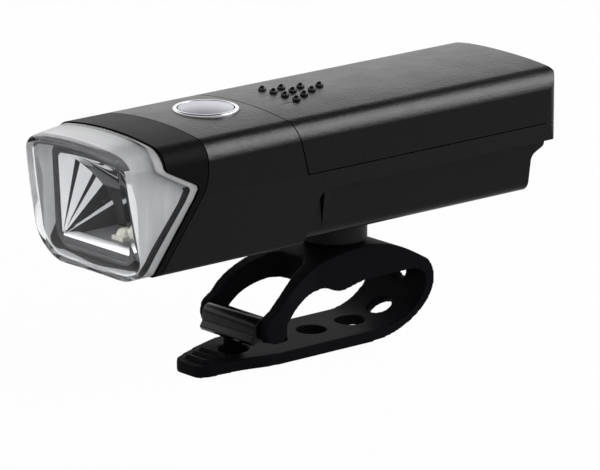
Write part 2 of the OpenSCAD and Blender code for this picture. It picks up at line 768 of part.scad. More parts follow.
module tact_switch() color([0.2, 0.2, 0.22]) at_lamp() translate([button_x, 0, board_top]) difference() {
    box(-switch_w / 2, switch_w / 2, -switch_w / 2, switch_w / 2, 0, switch_h);
    translate([0, 0, switch_h - plunger_h]) cylinder(d = plunger_d + 2 * plunger_gap, h = plunger_h + over);
}
module switch_plunger() color([0.85, 0.6, 0.2]) at_lamp()
    translate([button_x, 0, board_top + switch_h - plunger_h + button_travel + key_gap])
        cylinder(d = plunger_d, h = 2 * plunger_h - button_travel - key_gap);
module button_seal() color([0.3, 0.3, 0.32]) at_lamp() translate([button_x, 0, ring_seat_z]) difference() {
    cylinder(d = ring_d, h = seal_h);
    translate([0, 0, -over]) cylinder(d = cap_bore, h = 3 * over);
}
ring_top = body_h + ring_proud;
ring_edge_r = 0.4;
module button_ring() color([0.9, 0.91, 0.93]) at_lamp() translate([button_x, 0, 0])
    rotate_extrude() polygon(rounded([
        [ring_bore / 2, ring_seat_z + seal_h, 0], [ring_d / 2, ring_seat_z + seal_h, 0],
        [ring_d / 2, ring_top, ring_edge_r], [ring_bore / 2, ring_top, ring_edge_r / 2]], 4));
cap_drop = 0.1;
module button_cap() color([0.72, 0.73, 0.77]) at_lamp() translate([button_x, 0, 0]) {
    edge_z = ring_top - cap_drop;
    dome_r = (cap_d * cap_d / 4 + dome_h * dome_h) / (2 * dome_h);
    half = asin(cap_d / 2 / dome_r);
    rotate_extrude() polygon(concat(
        [[0, plunger_top], [stem_d / 2, plunger_top], [stem_d / 2, plunger_top + stem_l],
         [cap_flange_d / 2, plunger_top + stem_l], [cap_flange_d / 2, cap_flange_top],
         [cap_d / 2, cap_flange_top]],
        arc([0, edge_z + dome_h - dome_r], dome_r, 90 - half, 90, 8)));
}

// Cells, contacts and springs
cell_edge_r = 0.6;
nub_edge_r = 0.3;
module cell(x0, way) {
    translate([x0, 0, 0]) rotate([0, 90 * way, 0]) rotate_extrude() polygon(rounded([
        [0, 0, 0], [cell_d / 2, 0, cell_edge_r], [cell_d / 2, cell_l - nub_h, cell_edge_r],
        [nub_d / 2, cell_l - nub_h, 0], [nub_d / 2, cell_l, nub_edge_r], [0, cell_l, 0]], 3));
}
module cell_left() color([0.75, 0.6, 0.3]) at_lamp()
    translate([0, cell_y, cell_z]) cell(plate_x - cell_l, 1);
module cell_right() color([0.75, 0.6, 0.3]) at_lamp()
    translate([0, -cell_y, cell_z]) cell(rear_plate_x + cell_l, -1);
plate_w = 11;
plate_h = 2 * (cell_z - ledge_z - wall - seat_gap);
module front_plate(y) {
    tab_x = contact_x + lug_l;
    box(plate_x, contact_x, y - plate_w / 2, y + plate_w / 2, cell_z - plate_h / 2, cell_z + plate_h / 2);
    box(contact_x - contact_t / 2, tab_x, y - lug_w / 2, y + lug_w / 2,
        lug_z - contact_t / 2, lug_z + contact_t / 2);
    box(tab_x - contact_t, tab_x, y - lug_w / 2, y + lug_w / 2, lug_z - lug_w / 2, lug_z + lug_w / 2);
}
module contact_positive() color([0.8, 0.8, 0.78]) at_lamp() front_plate(cell_y);
module contact_negative() color([0.8, 0.8, 0.78]) at_lamp() front_plate(-cell_y);
module contact_bridge() color([0.8, 0.8, 0.78]) at_lamp()
    box(rear_plate_x - contact_t, rear_plate_x, -cell_y - plate_w / 2, cell_y + plate_w / 2,
        cell_z - plate_h / 2, cell_z + plate_h / 2);
// Conical spring from its plate at x0 towards the cell at x0 + way * spring_l
coil_rings = 8;
spring_cone = 2;
spring_tip_d = spring_d - spring_cone;
function spring_path(x0, way) = let (n = spring_turns * coil_rings, run = spring_l - 2 * spring_wire)
    concat([[x0, spring_d / 2, 0]],
        [for (i = [0:n]) let (d = spring_d + (spring_tip_d - spring_d) * i / n, a = 360 * i / coil_rings)
            [x0 + way * (spring_wire + run * i / n), d / 2 * cos(a), d / 2 * sin(a)]],
        [[x0 + way * spring_l, spring_tip_d / 2, 0]]);
spring_points = spring_path(0, 1);
spring_last = len(spring_points) - 2;
spring_clear = min([for (i = [1:spring_last]) for (j = [i + coil_rings - 2:1:spring_last])
    norm(spring_points[i] - spring_points[j])]) - spring_wire;
echo(least_gap_in_spring = spring_clear);
module battery_springs() color([0.82, 0.82, 0.8]) at_lamp() {
    translate([0, cell_y, cell_z]) tube(spring_path(rear_plate_x, 1), spring_wire, 6, [0, 1, 0]);
    translate([0, -cell_y, cell_z]) tube(spring_path(plate_x, -1), spring_wire, 6, [0, 1, 0]);
}

// Wires from the contacts and from the light board to the control board
wire_bend = 2.4;
wire_sides = 8;
pad_in = 3;
pad_x = board_x0 + pad_in;
module battery_wires() color([0.7, 0.1, 0.1]) at_lamp() both_sides() {
    quarter = [for (i = [0:4]) 90 * i / 4];
    tube(concat([[contact_x + lug_l, cell_y, lug_z]],
        [for (a = quarter) [pad_x - wire_bend * (1 - sin(a)), cell_y, lug_z + wire_bend * (1 - cos(a))]],
        [[pad_x, cell_y, board_low]]), wire_d, wire_sides, [0, 1, 0]);
}
led_wire_y = 4;
led_wire_in = 1.5;
led_wire_end = 2;
led_wire_swing = 7;
module led_wires() color([0.12, 0.12, 0.12]) at_lamp() both_sides() {
    high_x = board_x1 - led_wire_in;
    low_x = led_board_x0 + led_wire_in;
    tube(concat([[high_x, led_wire_y, board_low]],
        bezier([[high_x, led_wire_y, board_low - led_wire_end],
                [high_x, led_wire_y, board_low - led_wire_swing],
                [low_x, led_wire_y, mirror_floor_z + led_wire_swing],
                [low_x, led_wire_y, mirror_floor_z + led_wire_end]], 8),
        [[low_x, led_wire_y, mirror_floor_z]]), wire_d, wire_sides, [0, 1, 0]);
}

// Swivel: the puck stays with the strap, the washer, screw and insert turn with the lamp
puck_low = keel_z - puck_h;
neck_d = 9;
flange_d = 13;
flange_t = 1.4;
flange_in = 0.5;
flange_z = loop_h / 2 + flange_in;
head_sink = 0.5;
head_gap = 0.3;
head_seat = flange_z + screw_head_h + head_sink;
puck_r = 0.5;
washer_in = 1;
screw_short = 0.5;
cross_l = 3.4;
cross_t = 0.7;
cross_in = 1.2;
module pivot_puck() color([0.25, 0.25, 0.27]) difference() {
    rotate_extrude() polygon(rounded([
        [0, flange_z, 0], [flange_d / 2, flange_z, puck_r / 2], [flange_d / 2, flange_z + flange_t, 0],
        [neck_d / 2, flange_z + flange_t, 0], [neck_d / 2, puck_low, 0], [puck_d / 2, puck_low, puck_r],
        [puck_d / 2, keel_z - washer_t, puck_r], [0, keel_z - washer_t, 0]], 3));
    translate([0, 0, flange_z - over]) {
        cylinder(d = screw_d + 2 * run_gap, h = keel_z);
        cylinder(d = screw_head_d + 2 * head_gap, h = head_seat - flange_z + over);
    }
}
module friction_washer() color([0.55, 0.55, 0.52]) translate([0, 0, keel_z - washer_t]) difference() {
    cylinder(d = puck_d - 2 * washer_in, h = washer_t);
    translate([0, 0, -over]) cylinder(d = screw_d + 2 * run_gap, h = 3 * over);
}
module pivot_screw() color([0.6, 0.6, 0.62]) translate([0, 0, head_seat - screw_head_h]) difference() {
    union() {
        cylinder(d = screw_head_d, h = screw_head_h);
        cylinder(d = screw_d, h = keel_z + wall + insert_l - screw_short - head_seat + screw_head_h);
    }
    for (a = [0, 90]) rotate(a) box(-cross_l / 2, cross_l / 2, -cross_t / 2, cross_t / 2, -over, cross_in);
}
module pivot_insert() color([0.8, 0.65, 0.3]) at_lamp() translate([0, 0, wall]) difference() {
    cylinder(d = insert_d, h = insert_l);
    translate([0, 0, -over]) cylinder(d = screw_d + 2 * seat_gap, h = insert_l + 2 * over);
}

// Strap: saddle, bend, lower run and fork legs as one side outline
strap_hw = strap_w / 2;
under_z = loop_h / 2;
top_z = under_z + saddle_t;
run_z = -under_z;
low_z = run_z - band_t;
bend_z = under_z - 3;
bend_out = -bend_x;
bend_in = bend_out + band_t;
// Holes of the lower run, the last of them over the hook
first_hole_x = -4.4;
hole_n = 4;
hook_x = first_hole_x + (hole_n - 1) * hole_pitch;
tip_x = hook_x + tip_l;
taper_l = 15;
taper_r = 10;
tip_r = 3.4;
// Fork legs, which end on the hook
leg_x = flange_d / 2 + 3.5;
leg_out = [hook_x - 2.4, run_z + 9];
leg_in = [hook_x - 5.4, run_z + 5.8];
window_back = puck_d / 2 + 4.5;
window_edge_r = 2.5;
window_hw = strap_hw - leg_w;
saddle_end = [bend_out + 2.8, top_z - 5.2];
rear_curve = [[0, top_z], [-9, top_z], saddle_end + [3.8, 2], saddle_end];
turn_curve = [saddle_end, saddle_end - [1.7, 0.8], [bend_out, bend_z + 2.3], [bend_out, bend_z]];
low_curve = [[bend_out, bend_z], [bend_out, low_z + 5.1], [bend_out + 9, low_z], [bend_out + 17, low_z]];
in_curve = [[bend_out + 15, run_z], [bend_out + 8.5, run_z], [bend_in, run_z + 3.5], [bend_in, bend_z]];
roof_curve = [[bend_in, bend_z], [bend_in, bend_z + 1.7], [bend_in + 2, under_z], [bend_in + 5.5, under_z]];
leg_under = [[leg_x, under_z], [leg_x + 5.5, under_z + 0.3], leg_in + [-2.6, 3.6], leg_in];
leg_over = [leg_out, [leg_out[0] - 6.5, top_z - 2.2], [leg_x - 1, top_z - 0.6], [0, top_z]];
// Tail, which droops ahead of the hook
tail_dip = 1;
dip_x = hook_x + 2;
function dip(x) = tail_dip * (x - dip_x) / (tip_x - dip_x);
// Grip ridges across the tail
ridge_n = 3;
ridge_pitch = 2.3;
ridge_t = 0.9;
ridge_h = 0.6;
ridge_w = 9;
ridge_step = 1.2;
ridge_x = hook_x + 4.6;
module strap_band() {
    across_y(-strap_hw, strap_hw) polygon(concat(
        bezier(rear_curve, 8), bezier(turn_curve, 6), bezier(low_curve, 12),
        [[dip_x, low_z], [tip_x, low_z - tail_dip], [tip_x, run_z - tail_dip], [dip_x, run_z]],
        bezier(in_curve, 10), bezier(roof_curve, 6), bezier(leg_under, 8), bezier(leg_over, 10)));
}
module strap_plan() {
    // Plan outline: full width at the saddle, tapering along the tail to a round tip
    linear_extrude(4 * keel_z, center = true) polygon(rounded([
        [bend_out - over, -strap_hw, 0], [tip_x - taper_l, -strap_hw, taper_r], [tip_x, -tip_w / 2, tip_r],
        [tip_x, tip_w / 2, tip_r], [tip_x - taper_l, strap_hw, taper_r], [bend_out - over, strap_hw, 0]]));
}
module band_hole(curve, t) {
    // Hole square to the band at the fraction t of one of its curves
    steps = 100;
    p = bezier(curve, steps)[round(steps * t)];
    way = bezier_way(curve, t);
    translate([p[0], 0, p[1]]) rotate([0, 90 - atan2(way[0], -way[1]), 0])
        cylinder(d = hole_d, h = 3 * band_t, center = true);
}
module strap() color([0.09, 0.09, 0.1]) difference() {
    union() {
        intersection() {
            strap_band();
            strap_plan();
        }
        for (i = [0:ridge_n - 1]) let (x = ridge_x + i * ridge_pitch, w = ridge_w - i * ridge_step)
            box(x, x + ridge_t, -w / 2, w / 2, run_z - band_t / 2 - dip(x), run_z + ridge_h - dip(x));
    }
    // Window between the fork legs
    translate([0, 0, run_z + 2 * over]) linear_extrude(loop_h + 2 * saddle_t) polygon(rounded([
        [window_back, -window_hw, window_edge_r], [leg_out[0] + over, -window_hw, 0],
        [leg_out[0] + over, window_hw, 0], [window_back, window_hw, window_edge_r]]));
    // Holes along the lower run and round the bend
    for (i = [0:hole_n - 1]) translate([first_hole_x + i * hole_pitch, 0, low_z - over])
        cylinder(d = hole_d, h = band_t + 2 * over);
    band_hole(low_curve, 0.55);
    band_hole(turn_curve, 0.8);
    // Seat of the puck
    translate([0, 0, under_z - over]) {
        cylinder(d = neck_d + 2 * seat_gap, h = 4 * saddle_t);
        cylinder(d = flange_d + 2 * seat_gap, h = flange_in + flange_t + seat_gap + over);
    }
}

// Hook: two cheeks on the leg ends, a rounded bar between them and the prong in a strap hole
cheek_in = 0.5;
cheek_back = 0.4;
cheek_drop = 1.6;
cheek_lift = 3;
cheek_r = 2.2;
bar_lead = 1.2;
bar_depth = 4.6;
bar_lift = 2.8;
bar_h = 6;
bar_r = 2;
bar_in = 1.2;
lip_lead = 0.8;
lip_z = 1.4;
lip_r = 0.5;
bar_front = hook_x + bar_lead;
bar_back = bar_front - bar_depth;
bar_low = run_z + bar_lift;
bar_top = bar_low + bar_h;
bar_hw = strap_hw - bar_in;
cheek_front = hook_x - cheek_back;
cheek_low = run_z + cheek_lift;
prong_t = 2.4;
prong_front = hook_x + prong_t / 2;
prong_back = hook_x - prong_t / 2;
prong_r = 0.5;
toe_l = 2.8;
toe_h = 1.4;
toe_gap = 0.4;
module hook_buckle() color([0.05, 0.05, 0.055]) {
    toe_top = low_z - toe_gap;
    both_sides() across_y(window_hw - cheek_in, strap_hw) polygon(rounded([
        [leg_out[0], leg_out[1], 0], [cheek_front, leg_out[1] - cheek_drop, cheek_r],
        [cheek_front, cheek_low, cheek_r], [leg_in[0], cheek_low, cheek_r], [leg_in[0], leg_in[1], 0]]));
    across_y(-bar_hw, bar_hw) polygon(rounded([
        [bar_back, bar_top, bar_r], [bar_front, bar_top, bar_r], [bar_front, bar_low + lip_z, lip_r],
        [bar_front + lip_lead, bar_low + lip_z / 2, lip_r / 2], [bar_front + lip_lead, bar_low, lip_r / 2],
        [bar_back, bar_low, lip_r]]));
    across_y(-prong_w / 2, prong_w / 2) polygon(rounded([
        [prong_back, bar_low + lip_z, 0], [prong_front, bar_low + lip_z, 0],
        [prong_front, toe_top, prong_r], [prong_front + toe_l, toe_top, prong_r],
        [prong_front + toe_l, toe_top - toe_h, prong_r], [prong_back, toe_top - toe_h, prong_r]]));
}

strap();
hook_buckle();
pivot_puck();
main_housing();
front_bezel();
lens();
lens_seal();
reflector();
led_board();
led_emitter();
heat_sink();
control_board();
board_components();
tact_switch();
button_ring();
button_seal();
board_screws();
reflector_screws();
cell_left();
cell_right();
contact_positive();
contact_negative();
contact_bridge();
battery_springs();
battery_wires();
led_wires();
pivot_screw();
pivot_insert();
friction_washer();
battery_cover();
button_cap();
switch_plunger();
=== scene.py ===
"""Looks of the bicycle headlight: camera, studio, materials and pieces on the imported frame."""
import math

import bmesh
import bpy
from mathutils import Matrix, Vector


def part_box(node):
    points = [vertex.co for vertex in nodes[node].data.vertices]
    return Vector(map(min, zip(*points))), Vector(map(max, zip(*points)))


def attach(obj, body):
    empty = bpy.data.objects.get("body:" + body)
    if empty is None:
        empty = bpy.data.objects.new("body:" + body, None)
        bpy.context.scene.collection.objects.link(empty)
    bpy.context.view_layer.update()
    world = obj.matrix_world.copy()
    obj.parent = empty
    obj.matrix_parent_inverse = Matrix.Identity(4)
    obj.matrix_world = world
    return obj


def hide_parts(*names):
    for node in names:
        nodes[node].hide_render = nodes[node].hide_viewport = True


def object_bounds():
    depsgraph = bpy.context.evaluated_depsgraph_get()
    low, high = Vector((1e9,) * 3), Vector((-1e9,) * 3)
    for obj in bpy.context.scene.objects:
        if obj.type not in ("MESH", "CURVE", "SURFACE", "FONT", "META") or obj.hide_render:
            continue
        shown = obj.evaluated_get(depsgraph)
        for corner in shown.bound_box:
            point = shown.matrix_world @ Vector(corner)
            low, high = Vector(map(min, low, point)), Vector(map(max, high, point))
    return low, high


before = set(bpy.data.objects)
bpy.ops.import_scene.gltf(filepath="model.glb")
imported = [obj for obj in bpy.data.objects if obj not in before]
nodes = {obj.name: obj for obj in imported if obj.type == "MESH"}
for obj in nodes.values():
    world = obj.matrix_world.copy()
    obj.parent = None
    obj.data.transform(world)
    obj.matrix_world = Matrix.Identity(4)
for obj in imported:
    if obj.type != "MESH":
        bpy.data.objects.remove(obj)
cad_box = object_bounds()
MM = 0.001
# Bottom of the keel, which all lamp heights below are measured from
LAMP_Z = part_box("main_housing")[0][2] / MM

# Camera: a long lens that looks down at the lamp from ahead of its left side
CAMERA_TARGET = Vector((9.318, 0, 15.17)) * MM
CAMERA_BACK = Vector((0.6283, 0.7320, 0.2634)).normalized()
CAMERA_DISTANCE = 1152.2 * MM
CAMERA_LENS = 335.3
SENSOR = 36.0


def make_camera():
    data = bpy.data.cameras.new("camera")
    data.lens = CAMERA_LENS
    data.sensor_fit = "HORIZONTAL"
    data.sensor_width = SENSOR
    data.clip_start = 0.01
    data.clip_end = 20
    camera = bpy.data.objects.new("camera", data)
    bpy.context.scene.collection.objects.link(camera)
    camera.location = CAMERA_TARGET + CAMERA_BACK * CAMERA_DISTANCE
    camera.rotation_euler = (-CAMERA_BACK).to_track_quat("-Z", "Y").to_euler()
    bpy.context.scene.camera = camera


# Studio: a white sweep low behind the lamp, a dimmer screen all round, and two soft boxes above
# the lamp's left shoulder. Spans of height are the z of a direction.
AMBIENT = 0.06
SWEEP_LEVEL = 0.95
SWEEP_HIGH = 2.8
SWEEP_RISE = (0.05, 0.46)
SWEEP_TOP = 0.54
SWEEP_FADE = 0.09
SWEEP_EDGE = 0.55
SIDE_LEVEL = 1.5
SIDE_FOOT = (0.04, 0.16)
DARK_FRONT = 0.07
FRONT_FADE = (-0.25, 0.15)
LENS_LIGHT = 4.5
WHITE_SHARE = 0.98
PAPER = (0.55, 0.55, 0.55, 1)
CARD_X = 0.085
CARD_FADE = 0.02
FLOOR_Z = cad_box[0][2] - 0.2 * MM
FLOOR_SIZE = 6.0
# Direction from the lamp, distance, width and depth in metres, and power of each soft box
SOFT_BOXES = {
    "shoulder_box": ((-0.63, 0.42, 0.66), 0.9, (0.5, 0.36), 3.0),
    "shoulder_fill": ((-0.63, 0.66, 0.40), 0.9, (0.5, 0.4), 2.1),
}


def node_graph(tree):
    """Short calls for building a node tree: add(type, settings) and link(from, to)."""
    def add(kind, inputs=None, **settings):
        node = tree.nodes.new(kind)
        for key, value in settings.items():
            setattr(node, key, value)
        for key, value in (inputs or {}).items():
            node.inputs[key].default_value = value
        return node
    return add, tree.links.new


def make_world():
    world = bpy.data.worlds.new("studio")
    bpy.context.scene.world = world
    world.use_nodes = True
    tree = world.node_tree
    tree.nodes.clear()
    add, link = node_graph(tree)
    out = add("ShaderNodeOutputWorld")
    direction = add("ShaderNodeTexCoord")
    behind = add("ShaderNodeVectorMath", operation="DOT_PRODUCT")
    behind.inputs[1].default_value = (-CAMERA_BACK.x, -CAMERA_BACK.y, 0)
    link(direction.outputs["Generated"], behind.inputs[0])
    axes = add("ShaderNodeSeparateXYZ")
    link(direction.outputs["Generated"], axes.inputs[0])
    side = add("ShaderNodeMapRange", {"From Min": 0.0, "From Max": SWEEP_EDGE},
               interpolation_type="SMOOTHSTEP")
    link(behind.outputs["Value"], side.inputs["Value"])
    height = add("ShaderNodeMapRange", {"From Min": SWEEP_TOP, "From Max": SWEEP_TOP - SWEEP_FADE},
                 interpolation_type="SMOOTHSTEP")
    link(axes.outputs["Z"], height.inputs["Value"])
    sweep = add("ShaderNodeMath", operation="MULTIPLY")
    link(side.outputs["Result"], sweep.inputs[0])
    link(height.outputs["Result"], sweep.inputs[1])
    rise = add("ShaderNodeMapRange", {"From Min": SWEEP_RISE[0], "From Max": SWEEP_RISE[1],
                                      "To Min": SWEEP_LEVEL, "To Max": SWEEP_HIGH})
    link(axes.outputs["Z"], rise.inputs["Value"])
    # A dimmer screen stands all round at the same height
    foot = add("ShaderNodeMapRange", {"From Min": SIDE_FOOT[0], "From Max": SIDE_FOOT[1]},
               interpolation_type="SMOOTHSTEP")
    link(axes.outputs["Z"], foot.inputs["Value"])
    screen = add("ShaderNodeMath", operation="MULTIPLY")
    link(foot.outputs["Result"], screen.inputs[0])
    link(height.outputs["Result"], screen.inputs[1])
    round_about = add("ShaderNodeMapRange", {"To Min": AMBIENT, "To Max": SIDE_LEVEL})
    link(screen.outputs["Value"], round_about.inputs["Value"])
    level = add("ShaderNodeMapRange")
    link(sweep.outputs["Value"], level.inputs["Value"])
    link(round_about.outputs["Result"], level.inputs["To Min"])
    link(rise.outputs["Result"], level.inputs["To Max"])
    # Seen through the lens, the far half of the studio is white and the half ahead of the lamp
    # is dark, while its light falls evenly into the lens
    far = add("ShaderNodeMapRange", {"From Min": FRONT_FADE[0], "From Max": FRONT_FADE[1],
                                     "To Min": DARK_FRONT, "To Max": 1.0})
    link(behind.outputs["Value"], far.inputs["Value"])
    rays = add("ShaderNodeLightPath")
    lit = add("ShaderNodeMath", operation="MINIMUM")
    link(rays.outputs["Diffuse Depth"], lit.inputs[0])
    lit.inputs[1].default_value = 1.0
    through = add("ShaderNodeMix", data_type="FLOAT")
    link(lit.outputs["Value"], through.inputs["Factor"])
    link(far.outputs["Result"], through.inputs["A"])
    through.inputs["B"].default_value = LENS_LIGHT
    glass = add("ShaderNodeMix", data_type="FLOAT")
    link(rays.outputs["Is Transmission Ray"], glass.inputs["Factor"])
    link(level.outputs["Result"], glass.inputs["A"])
    link(through.outputs["Result"], glass.inputs["B"])
    seen = add("ShaderNodeMix", data_type="FLOAT")
    link(rays.outputs["Is Camera Ray"], seen.inputs["Factor"])
    link(glass.outputs["Result"], seen.inputs["A"])
    seen.inputs["B"].default_value = 1.0
    light = add("ShaderNodeBackground", {"Color": (1, 1, 1, 1)})
    link(seen.outputs["Result"], light.inputs["Strength"])
    link(light.outputs["Background"], out.inputs["Surface"])


def make_floor():
    bpy.ops.mesh.primitive_plane_add(size=FLOOR_SIZE, location=(0, 0, FLOOR_Z))
    floor = bpy.context.object
    floor.name = "floor"
    mat = bpy.data.materials.new("floor_white")
    mat.use_nodes = True
    tree = mat.node_tree
    tree.nodes.clear()
    add, link = node_graph(tree)
    out = add("ShaderNodeOutputMaterial")
    paper = add("ShaderNodeBsdfDiffuse", {"Color": PAPER})
    glow = add("ShaderNodeEmission", {"Color": (1, 1, 1, 1), "Strength": 1.0})
    rays = add("ShaderNodeLightPath")
    mirrored = add("ShaderNodeMath", operation="MAXIMUM")
    link(rays.outputs["Is Glossy Ray"], mirrored.inputs[0])
    link(rays.outputs["Is Transmission Ray"], mirrored.inputs[1])
    # Ahead of the lens the floor is dark in reflections, as if a black card lay there
    place = add("ShaderNodeNewGeometry")
    axes = add("ShaderNodeSeparateXYZ")
    link(place.outputs["Position"], axes.inputs[0])
    ahead = add("ShaderNodeMapRange", {"From Min": CARD_X, "From Max": CARD_X + CARD_FADE,
                                       "To Min": 1.0, "To Max": 0.0})
    link(axes.outputs["X"], ahead.inputs["Value"])
    kept = add("ShaderNodeMath", operation="MULTIPLY")
    link(mirrored.outputs["Value"], kept.inputs[0])
    link(ahead.outputs["Result"], kept.inputs[1])
    seen = add("ShaderNodeMath", operation="MAXIMUM")
    link(rays.outputs["Is Camera Ray"], seen.inputs[0])
    link(kept.outputs["Value"], seen.inputs[1])
    share = add("ShaderNodeMath", operation="MULTIPLY")
    share.inputs[1].default_value = WHITE_SHARE
    link(seen.outputs["Value"], share.inputs[0])
    mix = add("ShaderNodeMixShader")
    link(share.outputs["Value"], mix.inputs["Fac"])
    link(paper.outputs["BSDF"], mix.inputs[1])
    link(glow.outputs["Emission"], mix.inputs[2])
    link(mix.outputs["Shader"], out.inputs["Surface"])
    floor.data.materials.append(mat)


def soft_box(name, direction, distance, size, power):
    data = bpy.data.lights.new(name, "AREA")
    data.shape = "RECTANGLE"
    data.size, data.size_y = size
    data.energy = power
    light = bpy.data.objects.new(name, data)
    bpy.context.scene.collection.objects.link(light)
    way = Vector(direction).normalized()
    light.location = CAMERA_TARGET + way * distance
    light.rotation_euler = (-way).to_track_quat("-Z", "Y").to_euler()


def make_lights():
    for name, (direction, distance, size, power) in SOFT_BOXES.items():
        soft_box(name, direction, distance, size, power)


# Materials. The painted sheen of rounded upper edges, a stronger metallic reflection set where the
# normal looks up, fades in and out over two spans of the normal's z.
CLOUD_SCALE = 160.0
EDGE_FOOT = (0.0, 0.2)
EDGE_TOP = (0.96, 0.8)
EDGE_BLEND = 0.3


def paint_edge_sheen(add, link, place, tone, bsdf, shine):
    """Painted sheen on the rounded upper edges, standing in for a highlight band: dark metal placed by
    how far the surface's own normal looks up.
    """
    facing = add("ShaderNodeSeparateXYZ")
    link(place.outputs["Normal"], facing.inputs[0])
    sheen_mask = add("ShaderNodeMath", operation="MULTIPLY")
    for i, (start, end) in enumerate((EDGE_FOOT, EDGE_TOP)):
        fade = add("ShaderNodeMapRange", {"From Min": start, "From Max": end},
                   interpolation_type="SMOOTHSTEP")
        link(facing.outputs["Z"], fade.inputs["Value"])
        link(fade.outputs["Result"], sheen_mask.inputs[i])
    bright = add("ShaderNodeMix", data_type="RGBA")
    link(sheen_mask.outputs["Value"], bright.inputs["Factor"])
    link(tone.outputs["Result"], bright.inputs["A"])
    bright.inputs["B"].default_value = (shine, shine, shine, 1)
    link(bright.outputs["Result"], bsdf.inputs["Base Color"])
    skin = add("ShaderNodeMapRange", {"From Max": EDGE_BLEND})
    link(sheen_mask.outputs["Value"], skin.inputs["Value"])
    link(skin.outputs["Result"], bsdf.inputs["Metallic"])


def surface(name, base, roughness, grain=0.0, grain_mm=0.3, grain_h=0.05, mottle=0.1,
            metallic=0.0, specular=0.5, edge_shine=0.0):
    """Principled material with uneven tone, uneven roughness and a fine moulded grain."""
    mat = bpy.data.materials.new(name)
    mat.use_nodes = True
    tree = mat.node_tree
    tree.nodes.clear()
    add, link = node_graph(tree)
    out = add("ShaderNodeOutputMaterial")
    bsdf = add("ShaderNodeBsdfPrincipled", {"Metallic": metallic, "Specular IOR Level": specular})
    link(bsdf.outputs["BSDF"], out.inputs["Surface"])
    place = add("ShaderNodeTexCoord")
    cloud = add("ShaderNodeTexNoise", {"Scale": CLOUD_SCALE, "Detail": 4.0, "Roughness": 0.6})
    link(place.outputs["Object"], cloud.inputs["Vector"])
    tone = add("ShaderNodeMix", data_type="RGBA")
    tone.inputs["A"].default_value = (*[c * (1 - mottle) for c in base], 1)
    tone.inputs["B"].default_value = (*[min(1, c * (1 + mottle)) for c in base], 1)
    link(cloud.outputs["Fac"], tone.inputs["Factor"])
    link(tone.outputs["Result"], bsdf.inputs["Base Color"])
    if edge_shine:
        paint_edge_sheen(add, link, place, tone, bsdf, edge_shine)
    gloss = add("ShaderNodeMapRange", {"To Min": roughness * (1 - mottle),
                                       "To Max": roughness * (1 + mottle)})
    link(cloud.outputs["Fac"], gloss.inputs["Value"])
    link(gloss.outputs["Result"], bsdf.inputs["Roughness"])
    if grain:
        fine = add("ShaderNodeTexNoise", {"Scale": 1 / (grain_mm * MM), "Detail": 3.0,
                                          "Roughness": 0.65})
        link(place.outputs["Object"], fine.inputs["Vector"])
        bump = add("ShaderNodeBump", {"Strength": grain, "Distance": grain_h * MM})
        link(fine.outputs["Fac"], bump.inputs["Height"])
        link(bump.outputs["Normal"], bsdf.inputs["Normal"])
    return mat


LENS_IOR = 1.22
FLOW_SCALE = 120.0
FLOW_H = 0.2


def clear_plastic(name, tint, roughness, ripple):
    """Clear moulded plastic with a faint flow ripple and slightly uneven polish."""
    mat = bpy.data.materials.new(name)
    mat.use_nodes = True
    tree = mat.node_tree
    tree.nodes.clear()
    add, link = node_graph(tree)
    out = add("ShaderNodeOutputMaterial")
    bsdf = add("ShaderNodeBsdfPrincipled", {"Base Color": (*tint, 1), "IOR": LENS_IOR,
                                            "Transmission Weight": 1.0})
    link(bsdf.outputs["BSDF"], out.inputs["Surface"])
    place = add("ShaderNodeTexCoord")
    flow = add("ShaderNodeTexNoise", {"Scale": FLOW_SCALE, "Detail": 2.0, "Roughness": 0.4})
    link(place.outputs["Object"], flow.inputs["Vector"])
    polish = add("ShaderNodeMapRange", {"To Min": roughness * 0.5, "To Max": roughness * 1.5})
    link(flow.outputs["Fac"], polish.inputs["Value"])
    link(polish.outputs["Result"], bsdf.inputs["Roughness"])
    bump = add("ShaderNodeBump", {"Strength": ripple, "Distance": FLOW_H * MM})
    link(flow.outputs["Fac"], bump.inputs["Height"])
    link(bump.outputs["Normal"], bsdf.inputs["Normal"])
    return mat


STREAK_TILT = math.radians(38)
STREAK_SCALE = (420, 90, 60)
STREAK_TONE = 0.6
FROST_THROUGH = 0.72
# Painted shade: the frosted wall's tone falls between these heights on the lamp, to this share
FROST_LOW = 18
FROST_HIGH = 25
FROST_TOP_SHADE = 0.62


